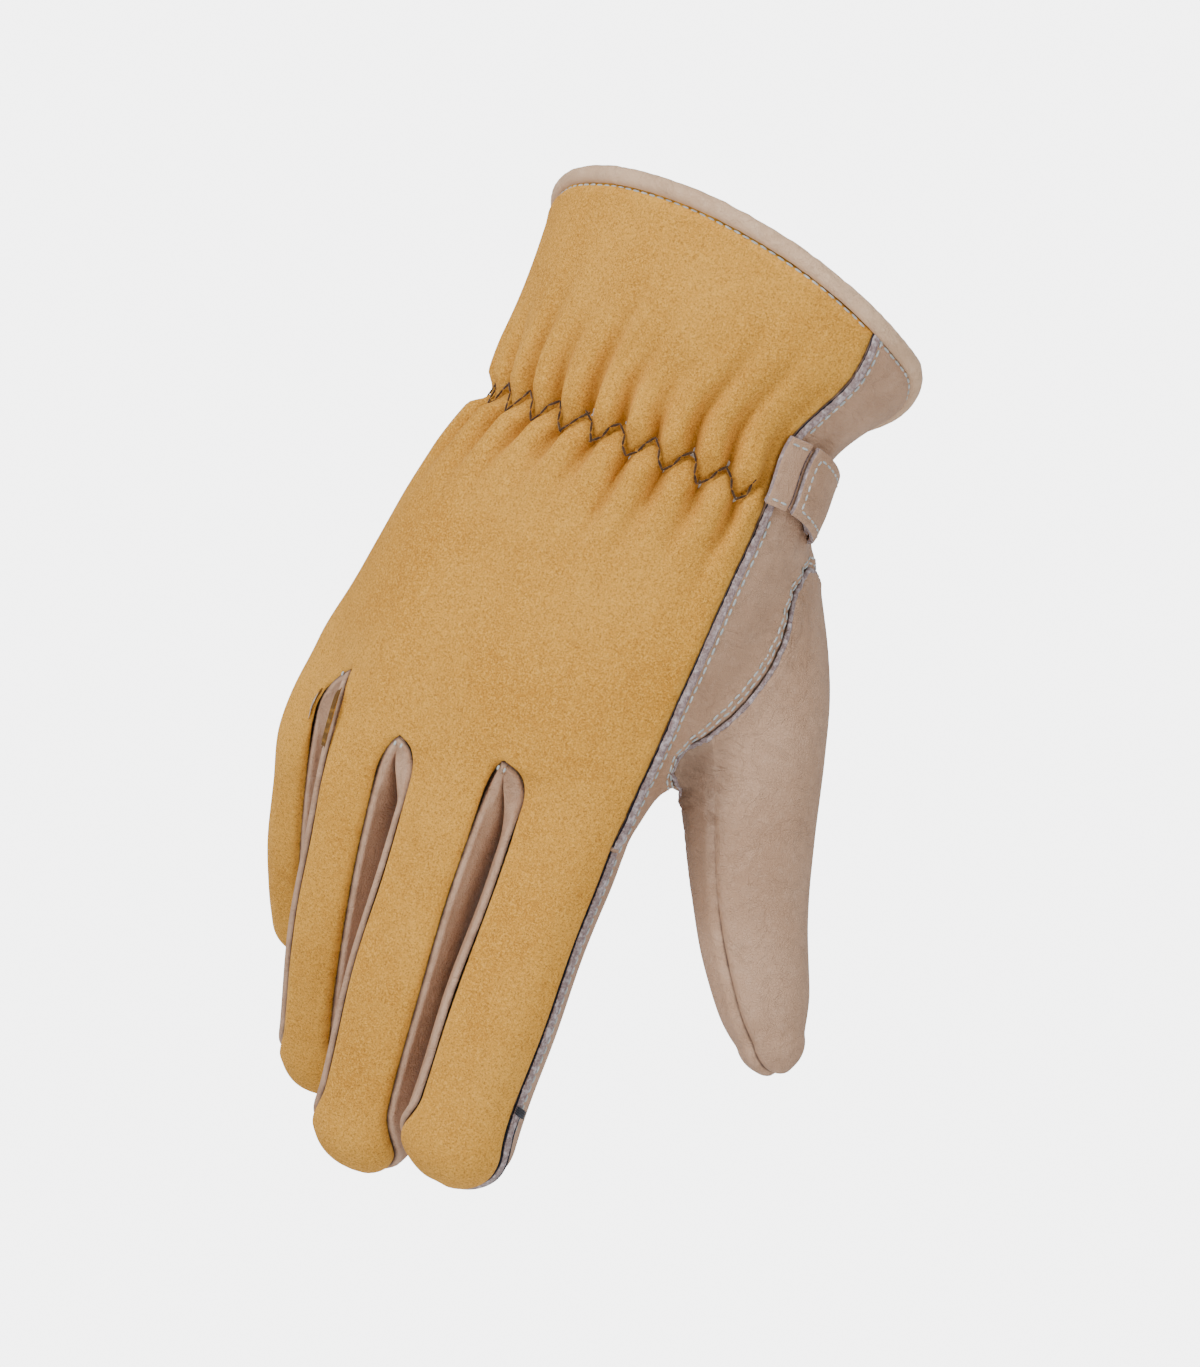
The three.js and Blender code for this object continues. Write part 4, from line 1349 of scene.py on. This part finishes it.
def stitchRow(name, starts, ends, normals, radius, material):
    allPoints, allFaces, base = [], [], 0
    for a, b, n in zip(starts, ends, normals):
        along = b - a
        length = np.linalg.norm(along)
        if length < 1e-6:
            continue
        along = along / length
        n = n - along * (n @ along)
        n = n / max(np.linalg.norm(n), 1e-9)
        side = np.cross(n, along)
        shape, faces = stitchShape(length, radius)
        placed = (a + b) / 2 + shape[:, :1] * along + shape[:, 1:2] * side + shape[:, 2:3] * n
        allPoints.append(placed)
        allFaces += [tuple(base + k for k in face) for face in faces]
        base += len(placed)
    piece = newMesh(name, np.concatenate(allPoints), allFaces)
    piece.data.materials.append(material)
    return piece


def surfaceTree(sheets):
    points = np.vstack([pointsOf(s) for s in sheets])
    normals = np.vstack([normalsOf(s) for s in sheets])
    return pointTree(points), points, normals


# each point moved onto the nearest of the sheets, and the sheet's normal there
def dropOn(surface, points, proud=0.0):
    tree, base, normals = surface
    placed, faced = [], []
    for p in points:
        found = tree.find_n(p, 4)
        weights = np.array([1 / (f[2] + 0.05) for f in found])
        weights /= weights.sum()
        n = sum(w * normals[f[1]] for w, f in zip(weights, found))
        n = n / np.linalg.norm(n)
        c = sum(w * base[f[1]] for w, f in zip(weights, found))
        placed.append(p - n * ((p - c) @ n) + n * proud)
        faced.append(n)
    return np.array(placed), np.array(faced)


def dashes(path, pitch, fill, closed=False):
    knots = evenly(path, pitch, closed)
    if closed:
        knots = np.vstack([knots, knots[:1]])
    a, b = knots[:-1], knots[1:]
    middle = (a + b) / 2
    return middle - (b - a) * fill / 2, middle + (b - a) * fill / 2


def sewOn(name, path, pitch, surface, material, radius=0.32, fill=0.78, proud=0.1, closed=False):
    a, b = dashes(path, pitch, fill, closed)
    a, n = dropOn(surface, a, proud)
    b, m = dropOn(surface, b, proud)
    return stitchRow(name, a, b, n + m, radius, material)


stitching = {  # mm
    "pitch": 2.5,
    "sideOffset": 2.65,       # from the long seam
    "bindingDrop": 2.7,       # below the rim
    "bindingRadius": 0.26,
    "thumbRows": (0.95, 2.5), # from the seam round the thumb
    "thumbPitch": 2.4,
    "thumbRadius": 0.27,
    "indexEnd": -206.0,       # level where the pale thread stops on the index finger
}

palmSurface = surfaceTree([handPalm, palmFingers["index"]])
backSurface = surfaceTree([handBack])
sidePath = outerSeamPoints(stitching["sideOffset"])
onHand = sidePath[sidePath[:, 2] > fingerCut]
onIndex = sidePath[sidePath[:, 2] <= fingerCut]
strapSpan = (-27.0, -50.0)  # levels between which the strap covers the long seam
rimAtSeam = rimLevel(seamAngle(4.0))
cuffPart = onHand[(onHand[:, 2] > strapSpan[0] + 1) & (onHand[:, 2] < rimAtSeam - 1.8)]
lowerPart = onHand[onHand[:, 2] < strapSpan[1] + 4]


def hang(piece, nodes, body="hand"):
    if nodes:
        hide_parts(*nodes)
    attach(piece, body)


cuffStitches = sewOn("side_seam_stitches_cuff", cuffPart, stitching["pitch"], palmSurface, paleThread)
hang(cuffStitches, ["side_seam_thread_cuff"])
handStitches = sewOn("side_seam_stitches_hand", lowerPart, stitching["pitch"], palmSurface, paleThread)
hang(handStitches, ["side_seam_thread_hand"])
indexPart = onIndex[onIndex[:, 2] > stitching["indexEnd"]]
indexStitches = sewOn("side_seam_stitches_index", indexPart, stitching["pitch"], palmSurface, paleThread)
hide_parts("side_seam_thread_index")
followFinger(indexStitches)


def rimPath(drop, fromAngle, toAngle, step=1.0):
    angle = np.arange(fromAngle, toAngle, step if toAngle > fromAngle else -step)
    return handPoint(angle, rimLevel(angle) - drop)


bindingBack = sewOn("binding_stitches_back", rimPath(stitching["bindingDrop"], -34, -179), stitching["pitch"],
                    backSurface, paleThread, radius=stitching["bindingRadius"], proud=0.0)
hang(bindingBack, ["binding_thread_back"])
bindingPalm = sewOn("binding_stitches_palm", rimPath(stitching["bindingDrop"], -28, 180), stitching["pitch"],
                    palmSurface, paleThread)
hang(bindingPalm, ["binding_thread_palm"])


# a line beside the seam round the thumb, onto the palm leather
def besideThumbSeam(offset):
    along = np.roll(thumbSeam, -1, 0) - np.roll(thumbSeam, 1, 0)
    side = np.cross(gradientOf(skinDistance, thumbSeam), along)
    side /= np.linalg.norm(side, axis=1, keepdims=True)
    if handSide(thumbSeam + side).sum() < handSide(thumbSeam).sum():
        side = -side
    return settle(thumbSeam + side * offset)


for place, offset in zip(("near", "far"), stitching["thumbRows"]):
    row = sewOn("thumb_seam_stitches_" + place, besideThumbSeam(offset), stitching["thumbPitch"],
                palmSurface, paleThread, radius=stitching["thumbRadius"], closed=True)
    hang(row, [])


# cords, edges and strips swept along a line
# a closed section (along the side, along the normal) drawn along a path
def sweep(name, path, normals, section, material, closed=False):
    path, normals = np.asarray(path), np.asarray(normals)
    n = len(path)
    ahead = np.roll(path, -1, 0) if closed else np.vstack([path[1:], path[-1:]])
    behind = np.roll(path, 1, 0) if closed else np.vstack([path[:1], path[:-1]])
    along = ahead - behind
    along /= np.linalg.norm(along, axis=1, keepdims=True)
    normals = normals - along * (normals * along).sum(1)[:, None]
    normals /= np.linalg.norm(normals, axis=1, keepdims=True)
    side = np.cross(normals, along)
    sections = section if callable(section) else (lambda k: section)
    points, count = [], len(sections(0))
    for k in range(n):
        for a, b in sections(k):
            points.append(path[k] + side[k] * a + normals[k] * b)
    faces = []
    for k in range(n if closed else n - 1):
        for i in range(count):
            a, b = k * count + i, k * count + (i + 1) % count
            c, d = ((k + 1) % n) * count + i, ((k + 1) % n) * count + (i + 1) % count
            faces.append((a, b, d, c))
    if not closed:
        faces.append(tuple(range(count))[::-1])
        faces.append(tuple((n - 1) * count + i for i in range(count)))
    piece = newMesh(name, points, faces)
    bm = bmesh.new()
    bm.from_mesh(piece.data)
    bmesh.ops.recalc_face_normals(bm, faces=bm.faces)
    bm.to_mesh(piece.data)
    bm.free()
    piece.data.materials.append(material)
    return piece


def circleSection(radius, count=8):
    turns = [2 * math.pi * i / count for i in range(count)]
    return [(radius * math.cos(turn), radius * math.sin(turn)) for turn in turns]


binding = {"radius": 2.0, "tall": 1.1, "wrinkle": 0.05, "sides": 18, "steps": 420}


def makeBinding():
    angle = np.linspace(0, 360, binding["steps"], endpoint=False)
    path = handPoint(angle, rimLevel(angle), -0.5)
    outward = handPoint(angle, rimLevel(angle), 1.5) - path
    wrinkle = rough(path, 2.1, 3.3) * 0.6 + rough(path, 5.5, 8.1) * 0.5

    def section(k):
        r = binding["radius"] * (1 + binding["wrinkle"] * wrinkle[k] * 0.6)
        out = []
        for i in range(binding["sides"]):
            turn = 2 * math.pi * i / binding["sides"]
            uneven = 1 + 0.10 * math.sin(i * 2.1 + k * 0.9) * wrinkle[k]
            out.append((r * math.cos(turn) * binding["tall"] + 0.2 * wrinkle[k], r * math.sin(turn) * uneven))
        return out

    piece = sweep("cuff_binding_leather", path, outward, section, bindingLeather, closed=True)
    hang(piece, ["cuff_binding"])


makeBinding()


seamStrip = {"offset": 1.05, "halfWidth": 0.86, "height": 0.5, "ragged": 0.2, "depth": 0.9}  # mm


# the raw edges that stand out between the back leather and the palm leather
def edgeStrip(name, lowZ, highZ, surface, material):
    path = outerSeamPoints(seamStrip["offset"])
    path = path[(path[:, 2] <= highZ) & (path[:, 2] >= lowZ)]
    path, normal = dropOn(surface, evenly(path, 0.8), 0.0)
    ragged = rough(path, 1.3, 6.1)
    ragged2 = rough(path, 2.7, 2.9)

    def section(k):
        w = seamStrip["halfWidth"] + seamStrip["ragged"] * ragged[k]
        h = seamStrip["height"] + seamStrip["ragged"] * ragged2[k]
        deep = seamStrip["depth"]
        return [(-w, -deep), (w, -deep), (w * 1.02, h * 0.75), (w * 0.6, h), (0, h * 0.88),
                (-w * 0.6, h), (-w * 1.02, h * 0.75)]

    return sweep(name, path, normal, section, material)


def edgeLine(name, lowZ, highZ, surface, material, offset=0.0, radius=0.3):
    path = outerSeamPoints(offset)
    path = path[(path[:, 2] <= highZ) & (path[:, 2] >= lowZ)]
    path, normal = dropOn(surface, evenly(path, 0.9), 0.12)
    return sweep(name, path, normal, circleSection(radius), material)


cuffStrip = edgeStrip("side_seam_edge_cuff", strapSpan[0], rimAtSeam - 1.6, palmSurface, seamEdge)
handStrip = edgeStrip("side_seam_edge_hand", fingerCut, strapSpan[0] - 14, palmSurface, seamEdge)
indexStrip = edgeStrip("side_seam_edge_index", -224, fingerCut, palmSurface, seamEdge)
cuffLine = edgeLine("side_seam_line_cuff", strapSpan[0], rimAtSeam - 1.6, palmSurface, darkThread)
handLine = edgeLine("side_seam_line_hand", fingerCut, strapSpan[0] - 14, palmSurface, darkThread)
indexLine = edgeLine("side_seam_line_index", -224, fingerCut, palmSurface, darkThread)
for piece in (cuffStrip, handStrip, cuffLine, handLine):
    hang(piece, [])
for piece in (indexStrip, indexLine):
    followFinger(piece)


def makeThumbEdge():
    path = evenly(besideThumbSeam(-0.3), 0.8, closed=True)
    surface = surfaceTree([handPalm, thumbOuter, thumbInner])
    path, normal = dropOn(surface, path, 0.0)
    ragged = rough(path, 1.5, 2.7)

    def section(k):
        return [((0.62 + 0.2 * ragged[k]) * a, (0.5 + 0.15 * ragged[k]) * b) for a, b in circleSection(1.0)]

    piece = sweep("thumb_seam_edge", path, normal, section, seamEdge, closed=True)
    hang(piece, [])


makeThumbEdge()
print("seams sewn")


# zigzag over the wrist elastic
def makeZigzag():
    angles = arcAngle[(arcRun >= 2) & (arcAngle <= gather["start"]) & (arcAngle >= gather["end"])]
    runs = np.interp(-angles, -arcAngle, arcRun)
    starts, ends = [], []
    for k in range(int(runs[-1] / (gather["pitch"] / 2))):
        a, b = k * gather["pitch"] / 2, (k + 1) * gather["pitch"] / 2
        up = 1 if k % 2 == 0 else -1
        for t0, t1 in ((-0.01, 0.33), (0.33, 0.67), (0.67, 1.01)):
            for t, out in ((t0, starts), (t1, ends)):
                run = a + (b - a) * t
                level = gather["level"] + gather["half"] * up * (1 - 2 * t)
                angle = np.interp(run, runs, angles)
                out.append(handPoint(np.array(angle), np.array(level)))
    a, n = dropOn(backSurface, np.array(starts), -0.02)
    b, m = dropOn(backSurface, np.array(ends), -0.02)
    piece = stitchRow("gather_stitches", a, b, n + m, 0.3, brownThread)
    hang(piece, ["gather_thread"])


makeZigzag()


elastic = {"fromAngle": -36, "toAngle": -176, "halfWidth": 5.5, "inside": 3.4, "thickness": 0.8, "ribs": 12}


def makeElastic():
    angle = np.linspace(elastic["fromAngle"], elastic["toAngle"], 90)
    z = gather["level"] + np.linspace(elastic["halfWidth"], -elastic["halfWidth"], elastic["ribs"])
    p = handPoint(angle[None, :] + 0 * z[:, None], z[:, None] + 0 * angle[None, :], -elastic["inside"])
    p[..., 1] += 0.18 * np.cos(np.arange(elastic["ribs"]) * math.pi)[:, None]
    piece = newMesh("wrist_elastic_tape", p.reshape(-1, 3), gridFaces(len(z), len(angle)))
    piece.data.materials.append(elasticTape)
    shell = piece.modifiers.new("tapeThickness", "SOLIDIFY")
    shell.thickness = elastic["thickness"] * mm
    hang(piece, ["wrist_elastic"])


makeElastic()


# wrist strap
strap = {  # levels in mm and angles round the wrist in degrees
    "top": -27.0,
    "bottom": -44.0,
    "fall": 4.5,              # how far it drops on the palm side
    "start": 14.0,
    "end": 104.0,
    "proud": 2.4,
    "thickness": 1.4,
    "anchor": (11.8, -19.5),  # from where it meets the strap to where it goes under the keeper
    "anchorProud": 2.3,
    "anchorThickness": 1.5,
    "backingProud": 0.45,
    "backingThickness": 1.45,
    "keeper": (-21.5, -32.0),
    "keeperProud": 0.6,
    "keeperThickness": 2.2,
    "loops": (128.0, 62.0),
    "hooks": (101.0, 68.0),
}


def strapSheet(name, span, inset, proud, thickness, material, roundEnd=False):
    fromAngle, toAngle = span
    columns = max(8, int(abs(toAngle - fromAngle) / 1.2))
    rows = 26
    angle = np.linspace(fromAngle, toAngle, columns)[None, :] + np.zeros((rows, 1))
    t = np.linspace(0, 1, rows)[:, None] + 0 * angle
    if roundEnd:
        close = np.clip((6 - np.abs(angle - fromAngle)) / 6, 0, 1) ** 2
        t = 0.5 + (t - 0.5) * (1 - 0.35 * close)
    fall = strap["fall"] * smoothStep((angle + 26) / 50)
    z = mix(strap["top"] - inset, strap["bottom"] + inset, t) - fall
    edge = np.minimum(t, 1 - t) * rows
    p = handPoint(angle, z, proud + thickness - 0.35 * np.exp(-edge / 1.3))
    piece = newMesh(name, p.reshape(-1, 3), gridFaces(rows, columns, flip=fromAngle < toAngle))
    piece.data.materials.append(material)
    piece.data.materials.append(seamEdge)
    shell = piece.modifiers.new("strapThickness", "SOLIDIFY")
    shell.thickness = thickness * mm
    shell.offset = -1.0
    shell.material_offset_rim = 1
    soft = piece.modifiers.new("softEdge", "BEVEL")
    soft.width = 0.25 * mm
    soft.segments = 2
    soft.limit_method = "ANGLE"
    return piece


keeper = strapSheet("strap_keeper_leather", strap["keeper"], 0, strap["keeperProud"],
                    strap["keeperThickness"], strapLeather)
hang(keeper, ["strap_keeper"])
anchor = strapSheet("strap_anchor_leather", strap["anchor"], 0, strap["anchorProud"],
                    strap["anchorThickness"], strapLeather)
hang(anchor, ["strap_anchor"])
backing = strapSheet("strap_backing_leather", strap["anchor"], 1, strap["backingProud"],
                     strap["backingThickness"], strapLeather)
hang(backing, ["strap_anchor_backing"])
loops = strapSheet("loop_patch_tape", strap["loops"], 2, 0.35, 0.7, loopTape)
hang(loops, ["loop_patch"])
tab = strapSheet("strap_leather", (strap["end"], strap["start"]), 0, strap["proud"],
                 strap["thickness"], strapLeather, roundEnd=True)
hang(tab, ["strap"], "strap_tab")
hooks = strapSheet("hook_patch_tape", strap["hooks"], 2, 1.4, 0.65, loopTape)
hang(hooks, ["hook_patch"], "strap_tab")


# corner points (angle, level) joined on the strap's surface
def strapPath(corners, proud):
    out = []
    for (a0, z0), (a1, z1) in zip(corners[:-1], corners[1:]):
        t = np.linspace(0, 1, 30)
        angle = mix(a0, a1, t)
        z = mix(z0, z1, t) - strap["fall"] * smoothStep((angle + 26) / 50)
        out.append(handPoint(angle, z, proud))
    return np.vstack(out)


def sewStrap(name, corners, proud, body="hand"):
    path = strapPath(corners, proud)
    a, b = dashes(path, 2.2, 0.74)
    middle = (a + b) / 2
    outward = middle - np.column_stack([np.full(len(middle), -6.3), 0 * middle[:, 1], middle[:, 2]])
    piece = stitchRow(name, a, b, outward, 0.27, paleThread)
    hang(piece, [], body)


top, bottom, start, end = strap["top"], strap["bottom"], strap["start"], strap["end"]
anchorRow = [(start - 4, top - 2), (-16, top - 2), (-16, bottom + 2), (start - 4, bottom + 2)]
tabRow = [(start + 2, top - 2), (end - 5, top - 3.2), (end - 5, bottom + 3.2), (start + 2, bottom + 2)]
sewStrap("strap_anchor_stitches", anchorRow, 3.85)
sewStrap("strap_keeper_stitches_top", [(-31, top - 1.6), (-22.5, top - 1.6)], 2.85)
sewStrap("strap_keeper_stitches_bottom", [(-31, bottom + 1.6), (-22.5, bottom + 1.6)], 2.85)
sewStrap("strap_stitches", tabRow, 3.85, "strap_tab")
print("strap made")


# bar tack and thread ends at the index fingertip
barTack = {"level": -201.0, "tip": -224.0, "left": 2.6, "right": 2.8, "rows": (-0.5, 0.0, 0.5, 1.0),
           "slant": 0.5, "radius": 0.36, "tailRadius": 0.42}


def makeBarTack():
    spot, across = [line[np.argmin(np.abs(line[:, 2] - barTack["level"]))]
                    for line in (outerSeamPoints(1.0), outerSeamPoints(3.2))]
    across = across - spot
    across /= np.linalg.norm(across)
    starts = np.array([spot - across * barTack["left"] + np.array([0, 0, row]) for row in barTack["rows"]])
    ends = np.array([spot + across * barTack["right"] + np.array([0, 0, row + barTack["slant"]])
                     for row in barTack["rows"]])
    surface = surfaceTree([palmFingers["index"], backFingers["index"]])
    a, n = dropOn(surface, starts, 1.0)
    b, m = dropOn(surface, ends, 1.0)
    piece = stitchRow("index_bar_tack_thread", a, b, n + m, barTack["radius"], darkThread)
    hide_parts("index_bar_tack")
    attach(piece, "index_finger")
    for side, offset in (("left", 0.0), ("right", 2.1)):
        lower = edgeLine("index_tip_thread_" + side, barTack["tip"], barTack["level"], palmSurface,
                         darkThread, offset=offset, radius=barTack["tailRadius"])
        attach(lower, "index_finger")


makeBarTack()


# pair of stitches at the top of each fold between the fingers
def makeSlitDots():
    starts, ends = [], []
    for slit in slits:
        x, z = slitX(slit), slit["backTop"] - 1.6
        p = handPoint(angleAtX(x, z, -1), np.array(z))
        for dx in (-0.9, 0.9):
            starts.append(p + np.array([dx, 0.2, 0.6]))
            ends.append(p + np.array([dx, 0.2, -0.6]))
    outward = np.array([[0, -1, 0.0]] * len(starts))
    piece = stitchRow("fold_top_stitches", np.array(starts), np.array(ends), outward, 0.3, paleThread)
    hang(piece, [])


makeSlitDots()
print("small stitches placed")
